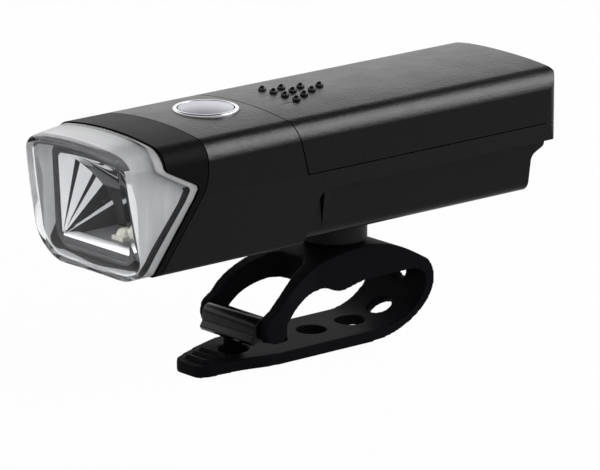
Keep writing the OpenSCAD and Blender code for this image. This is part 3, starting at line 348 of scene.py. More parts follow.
def frosted(name, tint, low, high, top_shade):
    """Milky inner wall of the lens: light passes in soft streaks, and its tone falls with height as
    painted shade near the top.
    """
    mat = bpy.data.materials.new(name)
    mat.use_nodes = True
    tree = mat.node_tree
    tree.nodes.clear()
    add, link = node_graph(tree)
    out = add("ShaderNodeOutputMaterial")
    place = add("ShaderNodeTexCoord")
    streaks = add("ShaderNodeMapping", {"Rotation": (0, STREAK_TILT, 0), "Scale": STREAK_SCALE})
    link(place.outputs["Object"], streaks.inputs["Vector"])
    cloud = add("ShaderNodeTexNoise", {"Scale": 1.0, "Detail": 3.0, "Roughness": 0.55})
    link(streaks.outputs["Vector"], cloud.inputs["Vector"])
    tone = add("ShaderNodeMix", data_type="RGBA")
    tone.inputs["A"].default_value = (*[c * STREAK_TONE for c in tint], 1)
    tone.inputs["B"].default_value = (*tint, 1)
    link(cloud.outputs["Fac"], tone.inputs["Factor"])
    front = add("ShaderNodeBsdfDiffuse")
    through = add("ShaderNodeBsdfTranslucent")
    axes = add("ShaderNodeSeparateXYZ")
    link(place.outputs["Object"], axes.inputs[0])
    fall = add("ShaderNodeMapRange", {"From Min": low, "From Max": high,
                                      "To Min": 1.0, "To Max": top_shade})
    link(axes.outputs["Z"], fall.inputs["Value"])
    shade = add("ShaderNodeVectorMath", operation="SCALE")
    link(tone.outputs["Result"], shade.inputs[0])
    link(fall.outputs["Result"], shade.inputs["Scale"])
    link(shade.outputs["Vector"], front.inputs["Color"])
    link(shade.outputs["Vector"], through.inputs["Color"])
    mix = add("ShaderNodeMixShader", {"Fac": FROST_THROUGH})
    link(front.outputs["BSDF"], mix.inputs[1])
    link(through.outputs["BSDF"], mix.inputs[2])
    link(mix.outputs["Shader"], out.inputs["Surface"])
    return mat


BLACK = (0.002, 0.002, 0.0023)
finishes = {
    # The housing's edge shine is a painted sheen on its rounded upper edges
    "housing": surface("housing_plastic", BLACK, 0.31, grain=1.0, grain_mm=0.8, grain_h=0.075,
                       mottle=0.25, specular=0.11, edge_shine=0.04),
    "bezel": surface("bezel_plastic", (0.002, 0.002, 0.0022), 0.48, grain=0.6, grain_mm=0.4,
                     specular=0.05),
    "rubber": surface("strap_rubber", (0.005, 0.0048, 0.0062), 0.5, grain=0.3, grain_mm=0.4,
                      specular=0.012),
    "seal": surface("seal_rubber", (0.012, 0.012, 0.013), 0.6, grain=0.3, specular=0.2),
    "gloss": surface("hook_plastic", (0.002, 0.002, 0.0025), 0.22, mottle=0.2, specular=0.12),
    "puck": surface("puck_plastic", (0.007, 0.007, 0.0075), 0.5, grain=0.4, specular=0.12),
    "lens": clear_plastic("lens_clear", (0.97, 0.975, 0.985), 0.03, 0.05),
    "frost": frosted("lens_frost", (0.78, 0.783, 0.795), (LAMP_Z + FROST_LOW) * MM,
                     (LAMP_Z + FROST_HIGH) * MM, FROST_TOP_SHADE),
    "rim": surface("lens_rim", (0.36, 0.363, 0.371), 0.5, grain=0.2, mottle=0.05),
    "mirror": surface("mirror_chrome", (0.9, 0.91, 0.92), 0.05, metallic=1.0, mottle=0.2),
    # Pale for the mirror's ledge, and painted reflection on the mirror's faceted side walls
    "pale_and_glare": surface("mirror_pale_and_glare", (0.95, 0.95, 0.96), 0.3, mottle=0.04),
    # Black of the mirror frame and floor, also used as painted shade in the lens and mirror
    "black_and_shade": surface("mirror_frame", (0.03, 0.03, 0.032), 0.25, mottle=0.3),
    "board": surface("board_green", (0.02, 0.11, 0.05), 0.35, grain=0.3, mottle=0.25),
    "light_board": surface("light_board", (0.14, 0.14, 0.145), 0.4, grain=0.2),
    "emitter": surface("emitter", (0.42, 0.41, 0.36), 0.3, mottle=0.1),
    "sink": surface("sink_metal", (0.72, 0.73, 0.74), 0.35, metallic=1.0, grain=0.5, grain_mm=0.2),
    "chip": surface("chip_black", (0.015, 0.015, 0.017), 0.5, grain=0.3),
    "chrome": surface("button_metal", (0.55, 0.555, 0.57), 0.3, metallic=1.0, mottle=0.05),
    "pearl": surface("button_pearl", (0.46, 0.46, 0.51), 0.4, metallic=0.5, mottle=0.04),
    "plunger": surface("plunger_plastic", (0.5, 0.25, 0.04), 0.45, grain=0.2),
    "steel": surface("steel", (0.55, 0.55, 0.56), 0.3, metallic=1.0, grain=0.2),
    "brass": surface("brass", (0.72, 0.5, 0.2), 0.3, metallic=1.0, grain=0.2),
    "spring": surface("spring_steel", (0.68, 0.68, 0.68), 0.22, metallic=1.0),
    "cell": surface("cell_wrap", (0.35, 0.2, 0.06), 0.25, metallic=0.6, mottle=0.15),
    "red_wire": surface("wire_red", (0.4, 0.02, 0.02), 0.45, grain=0.2),
    "black_wire": surface("wire_black", (0.02, 0.02, 0.02), 0.45, grain=0.2),
    "nylon": surface("washer_nylon", (0.6, 0.59, 0.55), 0.5, grain=0.2),
}
# Finish and broken-edge width in millimetres of each CAD node that shows as it is
KEPT = {
    "main_housing": ("housing", 0.25),
    "battery_cover": ("housing", 0.25),
    "front_bezel": ("bezel", 0.2),
    "pivot_puck": ("puck", 0.2),
    "button_ring": ("chrome", 0.1),
    "button_cap": ("pearl", 0.1),
    "lens_seal": ("seal", 0),
    "led_board": ("light_board", 0.1),
    "led_emitter": ("emitter", 0.1),
    "heat_sink": ("sink", 0.1),
    "control_board": ("board", 0.1),
    "board_components": ("chip", 0.1),
    "tact_switch": ("chip", 0.1),
    "button_seal": ("seal", 0),
    "board_screws": ("steel", 0.1),
    "reflector_screws": ("steel", 0.1),
    "cell_left": ("cell", 0),
    "cell_right": ("cell", 0),
    "contact_positive": ("spring", 0.05),
    "contact_negative": ("spring", 0.05),
    "contact_bridge": ("spring", 0.05),
    "battery_springs": ("spring", 0),
    "battery_wires": ("red_wire", 0),
    "led_wires": ("black_wire", 0),
    "pivot_screw": ("steel", 0.1),
    "pivot_insert": ("brass", 0.1),
    "friction_washer": ("nylon", 0.1),
    "switch_plunger": ("plunger", 0.1),
}
SHARP_ANGLE = math.radians(32)
WELD_GAP = 0.001
BEVEL_STEPS = 3
FACE_WEIGHT = 80


def dress(node, mat, edge_mm):
    """Gives a CAD node its finish, broken edges, and shading that follows its large faces."""
    piece = nodes[node]
    piece.data.materials.clear()
    piece.data.materials.append(mat)
    weld = piece.modifiers.new("weld", "WELD")
    weld.merge_threshold = WELD_GAP * MM
    if edge_mm:
        edge = piece.modifiers.new("edges", "BEVEL")
        edge.width = edge_mm * MM
        edge.segments = BEVEL_STEPS
        edge.limit_method = "ANGLE"
        edge.angle_limit = SHARP_ANGLE
    normals = piece.modifiers.new("normals", "WEIGHTED_NORMAL")
    normals.mode = "FACE_AREA"
    normals.weight = FACE_WEIGHT
    for face in piece.data.polygons:
        face.use_smooth = True


# Outlines and meshes
def arc(center, r, a0, a1, n):
    """Points of a circular arc, in degrees."""
    steps = [math.radians(a0 + (a1 - a0) * i / n) for i in range(n + 1)]
    return [Vector((center[0] + r * math.cos(a), center[1] + r * math.sin(a))) for a in steps]


def bezier(p, n):
    """Points of a cubic curve."""
    def at(t):
        s = 1 - t
        return p[0] * s ** 3 + p[1] * (3 * s * s * t) + p[2] * (3 * s * t * t) + p[3] * t ** 3
    return [at(i / n) for i in range(n + 1)]


def round_corner(a, b, c, r, n):
    """Corner b of an outline between a and c, rounded to radius r."""
    u = (a - b).normalized()
    v = (c - b).normalized()
    half = u.angle(v) / 2
    middle = b + (u + v).normalized() * (r / math.sin(half))
    p = b + u * (r / math.tan(half)) - middle
    q = b + v * (r / math.tan(half)) - middle
    start = math.degrees(math.atan2(p.y, p.x))
    sweep = (math.degrees(math.atan2(q.y, q.x)) - start + 180) % 360 - 180
    return arc(middle, r, start, start + sweep, n)


def rounded(corners, n=6, edge_n=1):
    """Closed outline of (x, y, radius) corners; each straight stretch is cut into edge_n pieces."""
    points = [Vector(c[:2]) for c in corners]
    out = []
    for i, c in enumerate(corners):
        before, after = points[i - 1], points[(i + 1) % len(points)]
        out.append(round_corner(before, points[i], after, c[2], n) if c[2] else [points[i]])
    loop = []
    for i, stretch in enumerate(out):
        loop += stretch
        a, b = stretch[-1], out[(i + 1) % len(out)][0]
        loop += [a.lerp(b, k / edge_n) for k in range(1, edge_n)]
    return loop


def mesh_piece(name, points, faces, body, mats, node=None):
    """New smooth-shaded piece from points in millimetres, riding on a body and standing for a node."""
    mesh = bpy.data.meshes.new(name)
    mesh.from_pydata([Vector(p) * MM for p in points], [], faces)
    for mat in mats:
        mesh.materials.append(mat)
    work = bmesh.new()
    work.from_mesh(mesh)
    bmesh.ops.recalc_face_normals(work, faces=work.faces)
    work.to_mesh(mesh)
    work.free()
    mesh.polygons.foreach_set("use_smooth", [True] * len(mesh.polygons))
    piece = bpy.data.objects.new(name, mesh)
    bpy.context.scene.collection.objects.link(piece)
    if body:
        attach(piece, body)
    if node:
        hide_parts(node)
    return piece


# Lens: clear walls from the bezel line to a front that leans back and bows forward.
# Lengths are in millimetres, and heights are above the keel's bottom.
LENS_T = 1.3
FRONT_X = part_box("lens")[1][0] / MM
FRONT_TOP = 25.0
FRONT_FOOT = -1.6
FRONT_LEAN = 2.85
FRONT_SWEEP = 2.1
EDGE_R = 0.9
INNER_EDGE = 0.6
# The pale rim band at the lens's rear edge is a painted highlight; it narrows towards the top
RIM_W = 1.8
LIP_W = 0.9
RIM_FADE = 2.0
RIM_LEAST = 0.05
LENS_X = 59.58
BROW_Z = 21.9
WINDOW_X = 50.58
WINDOW_Z = 17.4
WINDOW_RAKE = 0.628
EASE = 1.2
EASE_FROM = 10
CROWN_R = 86.0
# Half-widths, heights and corner radii of the rear outline and of the front one
REAR_FOOT_HW = 15.55
REAR_FOOT = 0.25
REAR_FOOT_R = 0.9
REAR_HW = 17.25
REAR_MID = 15
REAR_TOP = 27.05
REAR_TOP_R = 4.25
FACE_FOOT_HW = 16.4
FACE_FOOT_R = 7.2
FACE_MID_HW = 15.8
FACE_MID = 13
FACE_TOP_HW = 15.3
FACE_TOP = 26.1
FACE_TOP_R = 3.5
MID_R = 2
FACE_CENTRE_Z = 12.5
WALL_STEPS = 8
WALL_RINGS = 2 + WALL_STEPS
EDGE_STEPS = 6
EDGE_SHARE = 14
FACE_STEPS = 10
FACE_END = 0.985
CORNER_STEPS = 8
SIDE_STEPS = 10
# Where the skins lie: the pale strip inside the front edge, a painted highlight, and the dark band
# along its top, painted shade
LENS_SKINS = ("lens", "rim", "frost", "seal", "black_and_shade")
GLINT_STRIP_LOW = 4.0
GLINT_STRIP_HIGH = 20.0
SHADE_LOW = 22.6
SHADE_RINGS = 2
EDGE_RINGS = 6


def lens_rear_x(z):
    """Rear edge of the lens in side view, with its two corners eased."""
    slope = WINDOW_X + (LENS_X - WINDOW_X) * (z - WINDOW_Z) / (BROW_Z - WINDOW_Z)
    low = WINDOW_X + WINDOW_RAKE * (WINDOW_Z - z)

    def ease(a, b, k, way):
        gap = max(k - abs(a - b), 0) / k
        return (max(a, b) + gap * gap * k / 4) if way > 0 else (min(a, b) - gap * gap * k / 4)
    if z <= EASE_FROM:
        return low
    return ease(ease(slope, low, EASE, 1), LENS_X, EASE, -1)


def lens_front_x(z, inset):
    """Front of the lens in side view."""
    s = min(max((FRONT_TOP - z) / (FRONT_TOP - FRONT_FOOT), 0), 1)
    return FRONT_X - inset - FRONT_LEAN * s - FRONT_SWEEP * s * s


def lens_loop(corners, crown_z):
    """Outline across the lamp: half-width, height and radius of the right corners, mirrored."""
    both = corners + [(-y, z, r) for y, z, r in reversed(corners)]
    loop = rounded(both, CORNER_STEPS, SIDE_STEPS)
    low = min(p.y for p in loop)
    top = max(p.y for p in loop)
    middle = (low + top) / 2

    def crowned(p):
        share = max((p.y - middle) / (top - middle), 0)
        return Vector((p.x, p.y + share * (crown_z - top - p.x * p.x / (2 * CROWN_R))))
    return [crowned(p) for p in loop]


def lens_shell(t, edge_r):
    """Rings of one lens surface, inset by t, from the rear edge to the middle of the front."""
    rear = lens_loop([(REAR_FOOT_HW - t, REAR_FOOT + t, max(REAR_FOOT_R - t, 0.4)),
                      (REAR_HW - t, REAR_MID, MID_R),
                      (REAR_HW - t, REAR_TOP - t, max(REAR_TOP_R - t, 0.5))], REAR_TOP - t)
    front = lens_loop([(FACE_FOOT_HW - t, FRONT_FOOT + t, max(FACE_FOOT_R - t, 1)),
                       (FACE_MID_HW - t, FACE_MID, MID_R),
                       (FACE_TOP_HW - t, FACE_TOP - t, max(FACE_TOP_R - t, 0.8))], FACE_TOP - t)
    rings = [[] for _ in range(3 + WALL_STEPS + EDGE_STEPS + FACE_STEPS)]
    for r, f in zip(rear, front):
        start = Vector((lens_rear_x(r.y), r.x, r.y))
        tip = Vector((lens_front_x(f.y, t), f.x, f.y))
        length = (tip - start).length

        def face(k):
            y, z = f.x * (1 - k), FACE_CENTRE_Z + (f.y - FACE_CENTRE_Z) * (1 - k)
            return Vector((lens_front_x(z, t), y, z))
        wall_end = 1 - edge_r / length
        rim_w = RIM_W * min(max((REAR_TOP - t - r.y) / RIM_FADE, RIM_LEAST), 1)
        shares = [0, rim_w / length, (RIM_W + LIP_W) / length]
        first = shares[-1]
        shares += [first + (wall_end - first) * i / WALL_STEPS for i in range(1, WALL_STEPS + 1)]
        inset = edge_r / EDGE_SHARE
        a, b = start.lerp(tip, wall_end), face(inset)
        line = [start.lerp(tip, s) for s in shares]
        for i in range(1, EDGE_STEPS + 1):
            s = i / EDGE_STEPS
            line.append(a.lerp(tip, s).lerp(tip.lerp(b, s), s))
        for i in range(1, FACE_STEPS + 1):
            line.append(face(inset + (FACE_END - inset) * i / FACE_STEPS))
        for ring, p in zip(rings, line):
            ring.append(p)
    return rings


def lens_skin(shell, ring, height):
    """Skin of a lens face by its shell (0 outer, 1 inner, 2 rear edge), ring and height."""
    from_edge = ring - WALL_RINGS
    # Painted highlight: the rear edge and the band beside it are pale and opaque
    if shell == 2 or (shell == 0 and ring == 0):
        return "rim"
    # Painted shade: a dark band inside the lens along the top of its front edge
    if shell == 1 and height > SHADE_LOW and -SHADE_RINGS <= from_edge < EDGE_RINGS:
        return "black_and_shade"
    # Painted highlight: a pale strip just inside the lens's front edge
    if shell == 1 and from_edge == -1 and GLINT_STRIP_LOW < height < GLINT_STRIP_HIGH:
        return "rim"
    if shell == 1 and ring < 2 and height < WINDOW_Z:
        return "seal"
    if shell == 1 and from_edge < 0:
        return "frost"
    return "lens"


def make_lens():
    outer = lens_shell(0, EDGE_R)
    inner = lens_shell(LENS_T, EDGE_R * INNER_EDGE)
    n = len(outer[0])
    points = [p for ring in outer + inner for p in ring]
    points = [p + Vector((0, 0, LAMP_Z)) for p in points]
    per_shell = len(outer)
    faces = []
    for shell in (0, 1):
        for k in range(per_shell - 1):
            at = (shell * per_shell + k) * n
            faces += [(at + j, at + (j + 1) % n, at + n + (j + 1) % n, at + n + j) for j in range(n)]
        last = (shell * per_shell + per_shell - 1) * n
        faces.append(tuple(range(last, last + n)))
    inner_at = per_shell * n
    faces += [(j, (j + 1) % n, inner_at + (j + 1) % n, inner_at + j) for j in range(n)]
    skins = [finishes[skin] for skin in LENS_SKINS]
    lens = mesh_piece("lens_clear", points, faces, "lamp", skins, "lens")
    shell_faces = (per_shell - 1) * n + 1
    for face in lens.data.polygons:
        shell, place = divmod(face.index, shell_faces)
        skin = lens_skin(shell, place // n, face.center.z / MM - LAMP_Z)
        face.material_index = LENS_SKINS.index(skin)


# Mirror: a half parabola, dark in its lower rows as painted shade, between side walls fanned in facets
# painted pale and dark as reflection and shade, over a dark floor with the light opening and a pale
# ledge, in a dark frame
CELL_X = 62.9
CELL_LEAN = 0.055
CELL_HW = 10.9
CELL_DRAFT = 1.4
CELL_FOOT = 3.9
CELL_TOP = 21.9
CELL_R = 0.8
MIRROR_BACK = 5.1
MIRROR_LIP = 0.3
MIRROR_ROWS = 20
SHADED_ROWS = 10
SHELL_T = 0.5
# Rows of the parabola that bound the facets of each fan, and the skin of each facet: pale is painted
# reflection, dark painted shade
MIRROR_SKINS = ("mirror", "pale_and_glare", "black_and_shade")
FAN_ROWS = (20, 17, 16, 13, 12, 10, 6, 5, 0)
FAN_SKINS = (1, 2, 1, 2, 1, 2, 1, 2)
FAN_STEP = 0.35
FLOOR_T = 0.8
FLOOR_SINK = 0.05
APERTURE_R = 3.5
APERTURE_TOP = 9
LEDGE_L = 3.2
LEDGE_IN = 0.6
LEDGE_BACK_R = 1
LEDGE_FRONT_R = 0.4
LEDGE_SINK = 0.1
LEDGE_H = 0.35
FRAME_T = 0.6
FRAME_LOW = (12.6, 1.5, 4.4)
FRAME_HIGH = (12.4, 23.6, 2)


def cell_front_x(z):
    """Front plane of the mirror, which leans a little."""
    return CELL_X + CELL_LEAN * (z - FACE_CENTRE_Z)


def make_mirror():
    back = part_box("reflector")[0][0] / MM + MIRROR_BACK
    points = []
    for i in range(MIRROR_ROWS + 1):
        h = i / MIRROR_ROWS
        z = CELL_FOOT + (CELL_TOP - CELL_FOOT) * h
        front = cell_front_x(z)
        x = back + (cell_front_x(CELL_TOP) - MIRROR_LIP - back) * h * h
        hw = CELL_HW - CELL_DRAFT * (front - x) / (CELL_X - back)
        points += [(x, -hw, z), (x, hw, z)]
    faces = [(2 * i, 2 * i + 1, 2 * i + 3, 2 * i + 2) for i in range(MIRROR_ROWS)]
    # Painted shade: the parabola's lower rows are dark
    skins = [2 if i < SHADED_ROWS else 0 for i in range(MIRROR_ROWS)]
    # Each fan runs from the lower front corner to the edge of the parabola, with a small step
    # at each facet
    facets = len(FAN_SKINS)
    for side in (0, 1):
        way = 2 * side - 1
        apex = (cell_front_x(CELL_FOOT), way * CELL_HW, CELL_FOOT)
        for k, skin in enumerate(FAN_SKINS):
            for i in range(FAN_ROWS[k + 1], FAN_ROWS[k]):
                faces.append((len(points), 2 * i + side, 2 * i + 2 + side))
                skins.append(skin)
            points.append((apex[0] - FAN_STEP * k / facets, apex[1], apex[2] + FAN_STEP * (k % 2)))
        points.append((cell_front_x(CELL_TOP), way * CELL_HW, CELL_TOP))
        faces.append((len(points) - 1, len(points) - 1 - facets, 2 * MIRROR_ROWS + side))
        skins.append(1)
    points = [(x, y, z + LAMP_Z) for x, y, z in points]
    mats = [finishes[skin] for skin in MIRROR_SKINS]
    cell = mesh_piece("mirror_cell", points, faces, None, mats)
    for face, skin in zip(cell.data.polygons, skins):
        face.material_index = skin
        face.use_smooth = face.index < MIRROR_ROWS
    wall = cell.modifiers.new("wall", "SOLIDIFY")
    wall.thickness = SHELL_T * MM
    wall.offset = 1 if cell.data.polygons[0].normal.x < 0 else -1
    apply_all(cell)
    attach(cell, "lamp")
    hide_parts("reflector")
    make_mirror_floor(back)


def make_mirror_floor(back):
    """Dark floor with the opening for the light, and the pale ledge along its front."""
    base = LAMP_Z + CELL_FOOT
    front = cell_front_x(CELL_FOOT)
    foot = [(front, -CELL_HW), (front, CELL_HW),
            (back, CELL_HW - CELL_DRAFT), (back, CELL_DRAFT - CELL_HW)]
    floor = prism("mirror_floor", [Vector(p) for p in foot], base - FLOOR_T, base - FLOOR_SINK, "Z")
    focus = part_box("led_emitter")
    focus_x = (focus[0][0] + focus[1][0]) / 2 / MM
    ring = arc((focus_x, 0), APERTURE_R, 0, 360, 40)[:-1]
    cut(floor, prism("opening", ring, LAMP_Z, LAMP_Z + APERTURE_TOP, "Z"), "DIFFERENCE")
    floor.data.materials.append(finishes["black_and_shade"])
    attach(floor, "lamp")
    strip = rounded([(front - LEDGE_L, -CELL_HW + LEDGE_IN, LEDGE_BACK_R),
                     (front, -CELL_HW, LEDGE_FRONT_R), (front, CELL_HW, LEDGE_FRONT_R),
                     (front - LEDGE_L, CELL_HW - LEDGE_IN, LEDGE_BACK_R)])
    ledge = prism("mirror_ledge", strip, base - LEDGE_SINK, base + LEDGE_H, "Z")
    ledge.data.materials.append(finishes["pale_and_glare"])
    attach(ledge, "lamp")


def make_frame():
    outer = lens_loop([FRAME_LOW, FRAME_HIGH], FRAME_HIGH[1])
    inner = lens_loop([(CELL_HW, CELL_FOOT, CELL_R), (CELL_HW, CELL_TOP, CELL_R)], CELL_TOP)
    n = len(outer)
    points = []
    for loop, ahead in ((outer, 0), (outer, FRAME_T), (inner, FRAME_T), (inner, 0)):
        at = ahead - FRAME_T / 2
        points += [Vector((cell_front_x(p.y) + at, p.x, p.y + LAMP_Z)) for p in loop]
    faces = []
    for k in range(4):
        a, b = k * n, (k + 1) % 4 * n
        faces += [(a + j, a + (j + 1) % n, b + (j + 1) % n, b + j) for j in range(n)]
    mesh_piece("mirror_frame", points, faces, "lamp", [finishes["black_and_shade"]])


# Strap: side outline of saddle, bend, lower run and fork legs, cut by its plan, window and holes
STRAP_HW = 9.0
BAND_T = 2.4
LOOP_H = 11.4
SADDLE_T = 7.2
BEND_X = -20.0
HOLE_D = 6.4
BEND_HOLE_D = 5.2
HOLE_PITCH = 10.6
FIRST_HOLE_X = -4.4
HOLE_N = 4
TIP_L = 12.4
TAIL_DIP = 1.0
TIP_W = 9.0
TAPER_L = 15.0
LEG_W = 4.0
VOXEL = 0.3
UNDER_Z = LOOP_H / 2
TOP_Z = UNDER_Z + SADDLE_T
RUN_Z = -UNDER_Z
LOW_Z = RUN_Z - BAND_T
BEND_Z = UNDER_Z - 3
HOOK_X = FIRST_HOLE_X + (HOLE_N - 1) * HOLE_PITCH
TIP_X = HOOK_X + TIP_L
LEG_OUT = Vector((HOOK_X - 2.4, RUN_Z + 9))
LEG_IN = Vector((HOOK_X - 5.4, RUN_Z + 5.8))
LEG_X = 10.0
DIP_X = HOOK_X + 2
SAG = 1.3
SPREAD_X = 11.0
SPREAD_L = 12.5
SPREAD_IN = 3.2
SPREAD_OUT = 1.8
SPREAD_Z = 1.8
WINDOW_HW = STRAP_HW - LEG_W
WINDOW_GAP = 4.5
WINDOW_R = 2.5
PLAN_R = 10
TIP_R = 3.4
# Places of the bend's two holes along the curves that they cross
LOW_HOLE_AT = 0.55
TURN_HOLE_AT = 0.8
RIDGE_N = 3
RIDGE_X = 4.6
RIDGE_PITCH = 2.3
RIDGE_HW = 4.5
RIDGE_STEP = 0.6
RIDGE_W = 0.9
RIDGE_R = 0.3
RIDGE_H = 0.7
SEAT_R = 6.6
SEAT_H = 2
NECK_R = 4.6
CURL_R = 2.4
CURL_END_R = 0.4
CURL_Z = 2.7
# Past every outline, for tools that cut right through
CLEAR = 40
SADDLE_END = Vector((BEND_X + 2.8, TOP_Z - 5.2))


def side_curves():
    """Cubic curves of the strap's side outline, in order round it."""
    inside = BEND_X + BAND_T
    rows = {
        "rear": [(0, TOP_Z), (-9, TOP_Z), SADDLE_END + Vector((3.8, 2)), SADDLE_END],
        "turn": [SADDLE_END, SADDLE_END - Vector((1.7, 0.8)), (BEND_X, BEND_Z + 2.3),
                 (BEND_X, BEND_Z)],
        "low": [(BEND_X, BEND_Z), (BEND_X, LOW_Z + 5.1), (BEND_X + 9, LOW_Z), (BEND_X + 17, LOW_Z)],
        "tail_low": [(DIP_X - 6, LOW_Z), (DIP_X, LOW_Z), (DIP_X + 3, LOW_Z - 0.1),
                     (TIP_X, LOW_Z - TAIL_DIP)],
        "tail_top": [(TIP_X, RUN_Z - TAIL_DIP), (DIP_X + 3, RUN_Z - 0.1), (DIP_X, RUN_Z),
                     (DIP_X - 6, RUN_Z)],
        "in": [(BEND_X + 15, RUN_Z), (BEND_X + 8.5, RUN_Z), (inside, RUN_Z + 3.5), (inside, BEND_Z)],
        "roof": [(inside, BEND_Z), (inside, BEND_Z + 1.7), (inside + 2, UNDER_Z),
                 (inside + 5.5, UNDER_Z)],
        "sag_back": [(-4, UNDER_Z), (1, UNDER_Z), (3.5, UNDER_Z - SAG), (5.5, UNDER_Z - SAG)],
        "sag_front": [(5.5, UNDER_Z - SAG), (7.5, UNDER_Z - SAG), (8.5, UNDER_Z - 0.2),
                      (LEG_X, UNDER_Z)],
        "leg_under": [(LEG_X, UNDER_Z), (LEG_X + 5.5, UNDER_Z + 0.3), LEG_IN + Vector((-2.6, 3.6)),
                      LEG_IN],
        "leg_over": [LEG_OUT, (LEG_OUT.x - 6.5, TOP_Z - 2.2), (LEG_X - 1, TOP_Z - 0.6), (0, TOP_Z)],
    }
    return {name: [Vector(p) for p in row] for name, row in rows.items()}


def prism(name, outline, low, high, axis):
    """Solid between two levels of an axis, Y or Z, from an outline in the other two."""
    def place(p, level):
        return (p.x, level, p.y) if axis == "Y" else (p.x, p.y, level)
    n = len(outline)
    points = [place(p, low) for p in outline] + [place(p, high) for p in outline]
    faces = [tuple(range(n)), tuple(range(2 * n - 1, n - 1, -1))]
    faces += [(i, (i + 1) % n, n + (i + 1) % n, n + i) for i in range(n)]
    return mesh_piece(name, points, faces, None, [])


def cut(piece, tool, operation):
    """Boolean with a tool solid, which is then removed."""
    step = piece.modifiers.new("cut", "BOOLEAN")
    step.operation = operation
    step.object = tool
    step.solver = "EXACT"
    apply_all(piece)
    bpy.data.objects.remove(tool, do_unlink=True)


def apply_all(piece):
    """Turns a piece's modifiers into its mesh."""
    shown = piece.evaluated_get(bpy.context.evaluated_depsgraph_get())
    mesh = bpy.data.meshes.new_from_object(shown)
    piece.modifiers.clear()
    piece.data = mesh


def hole_at(curve, t, diameter):
    """Round tool square to the band at the fraction t of a curve."""
    line = bezier(curve, 100)
    i = round(100 * t)
    way = (line[min(i + 1, 100)] - line[max(i - 1, 0)]).normalized()
    across = Vector((-way.y, way.x))
    ring = arc((0, 0), diameter / 2, 0, 360, 32)[:-1]
    ends = [line[i] + across * (3 * BAND_T), line[i] - across * (3 * BAND_T)]
    points = []
    for end in ends:
        points += [(end.x + way.x * p.x, p.y, end.y + way.y * p.x) for p in ring]
    n = len(ring)
    faces = [tuple(range(n)), tuple(range(2 * n - 1, n - 1, -1))]
    faces += [(i, (i + 1) % n, n + (i + 1) % n, n + i) for i in range(n)]
    return mesh_piece("hole", points, faces, None, [])


def spread_legs(strap):
    """Spreads the fork legs towards the hook: the inner edge moves more than the outer one."""
    for v in strap.data.vertices:
        x, y, z = [c / MM for c in v.co]
        if x < SPREAD_X or z < RUN_Z + SPREAD_Z:
            continue
        share = min((x - SPREAD_X) / SPREAD_L, 1)
        share = share * share * (3 - 2 * share)
        across = min(max((abs(y) - WINDOW_HW) / LEG_W, 0), 1)
        shift = (SPREAD_IN + (SPREAD_OUT - SPREAD_IN) * across) * share
        v.co.y += math.copysign(shift * MM, y)


def disc(x, r, n):
    """Round outline on the strap's middle line."""
    return arc((x, 0), r, 0, 360, n)[:-1]


def cut_holes(strap, curves):
    """Window between the fork legs, and the strap's holes."""
    window_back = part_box("pivot_puck")[1][0] / MM + WINDOW_GAP
    window = rounded([(window_back, -WINDOW_HW, WINDOW_R), (LEG_OUT.x + 1, -WINDOW_HW, 0),
                      (LEG_OUT.x + 1, WINDOW_HW, 0), (window_back, WINDOW_HW, WINDOW_R)])
    cut(strap, prism("window", window, RUN_Z + 2, CLEAR, "Z"), "DIFFERENCE")
    for i in range(HOLE_N):
        ring = disc(FIRST_HOLE_X + i * HOLE_PITCH, HOLE_D / 2, 32)
        cut(strap, prism("hole", ring, LOW_Z - 1, RUN_Z + 1, "Z"), "DIFFERENCE")
    cut(strap, hole_at(curves["low"], LOW_HOLE_AT, BEND_HOLE_D), "DIFFERENCE")
    cut(strap, hole_at(curves["turn"], TURN_HOLE_AT, BEND_HOLE_D), "DIFFERENCE")


def add_ridges(strap):
    """Thumb ridges across the tail."""
    for i in range(RIDGE_N):
        x = HOOK_X + RIDGE_X + RIDGE_PITCH * i
        half = RIDGE_HW - RIDGE_STEP * i
        end = x + RIDGE_W
        ridge = rounded([(x, -half, RIDGE_R), (end, -half, RIDGE_R),
                         (end, half, RIDGE_R), (x, half, RIDGE_R)], 3)
        dip = TAIL_DIP * (x - DIP_X) / (TIP_X - DIP_X)
        cut(strap, prism("ridge", ridge, RUN_Z - 1 - dip, RUN_Z + RIDGE_H - dip, "Z"), "UNION")


def add_curls(strap):
    """Ends of the fork legs, curled round the hook's bar."""
    curl = rounded([(LEG_OUT.x, LEG_OUT.y + 0.2, CURL_END_R), (HOOK_X - 0.1, LEG_OUT.y - 1.3, CURL_R),
                    (HOOK_X - 0.1, RUN_Z + CURL_Z, CURL_R), (LEG_IN.x - 0.3, RUN_Z + CURL_Z, CURL_R),
                    (LEG_IN.x - 0.3, LEG_IN.y, CURL_END_R)])
    for side in (-1, 1):
        near, far = sorted((side * (WINDOW_HW - 0.1), side * STRAP_HW))
        cut(strap, prism("curl", curl, near, far, "Y"), "UNION")


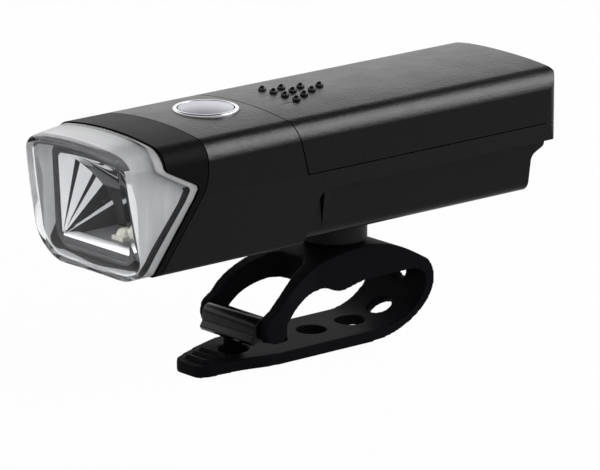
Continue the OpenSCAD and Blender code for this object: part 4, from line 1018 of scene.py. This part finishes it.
def make_strap():
    curves = side_curves()
    outline = []
    for curve in curves.values():
        outline += [p for p in bezier(curve, 16) if not outline or (p - outline[-1]).length > 0.01]
    if (outline[0] - outline[-1]).length < 0.01:
        outline.pop()
    strap = prism("strap_rubber", outline, -STRAP_HW, STRAP_HW, "Y")
    rear, taper = BEND_X - 1, TIP_X - TAPER_L
    plan = rounded([(rear, -STRAP_HW, 0), (taper, -STRAP_HW, PLAN_R), (TIP_X, -TIP_W / 2, TIP_R),
                    (TIP_X, TIP_W / 2, TIP_R), (taper, STRAP_HW, PLAN_R), (rear, STRAP_HW, 0)])
    cut(strap, prism("plan", plan, -CLEAR, CLEAR, "Z"), "INTERSECT")
    cut_holes(strap, curves)
    add_ridges(strap)
    seat = prism("seat", disc(0, SEAT_R, 48), UNDER_Z - 3, UNDER_Z + SEAT_H, "Z")
    cut(strap, seat, "DIFFERENCE")
    neck = prism("neck", disc(0, NECK_R, 48), UNDER_Z - 3, TOP_Z + 1, "Z")
    cut(strap, neck, "DIFFERENCE")
    add_curls(strap)
    remesh = strap.modifiers.new("even", "REMESH")
    remesh.mode = "VOXEL"
    remesh.voxel_size = VOXEL * MM
    remesh.use_smooth_shade = True
    soften = strap.modifiers.new("soften", "SMOOTH")
    soften.factor = 0.5
    soften.iterations = 4
    apply_all(strap)
    spread_legs(strap)
    strap.data.materials.clear()
    strap.data.materials.append(finishes["rubber"])
    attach(strap, "mount")
    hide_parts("strap")


# Hook: a glossy bar with a lip across the leg ends, and the prong in a strap hole.
# Outline corners are x, z and radius from the hole's middle on the strap's top.
BAR_HW = 8.4
BAR = [(-3.4, 8.0, 1.9), (1.2, 8.0, 1.9), (1.4, 4.6, 1.2), (2.2, 3.3, 0.5), (1.6, 2.4, 0.4),
       (0.2, 3.0, 0.8), (-3.4, 3.0, 1.0)]
PRONG_W = 3.8
TOE = LOW_Z - RUN_Z - 0.4
TOE_END = TOE - 1.4
PRONG = [(-1.2, 4.2, 0), (1.2, 4.2, 0), (1.2, TOE, 0.5), (4.0, TOE, 0.5), (4.0, TOE_END, 0.5),
         (-1.2, TOE_END, 0.5)]
HOOK_EDGE = 0.9
HOOK_EDGE_STEPS = 4
HOOK_SHARP = math.radians(60)


def make_hook():
    def at_hole(corners):
        return rounded([(HOOK_X + x, RUN_Z + z, r) for x, z, r in corners], 8)
    hook = prism("hook_plastic", at_hole(BAR), -BAR_HW, BAR_HW, "Y")
    cut(hook, prism("prong", at_hole(PRONG), -PRONG_W / 2, PRONG_W / 2, "Y"), "UNION")
    edge = hook.modifiers.new("edges", "BEVEL")
    edge.width = HOOK_EDGE * MM
    edge.segments = HOOK_EDGE_STEPS
    edge.limit_method = "ANGLE"
    edge.angle_limit = HOOK_SHARP
    apply_all(hook)
    hook.data.materials.append(finishes["gloss"])
    hook.data.polygons.foreach_set("use_smooth", [True] * len(hook.data.polygons))
    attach(hook, "mount")
    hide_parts("hook_buckle")


make_camera()
make_world()
make_floor()
make_lights()
for name, (finish, edge_mm) in KEPT.items():
    dress(name, finishes[finish], edge_mm)
make_lens()
make_mirror()
make_frame()
make_strap()
make_hook()
bpy.context.scene.view_settings.view_transform = "Standard"
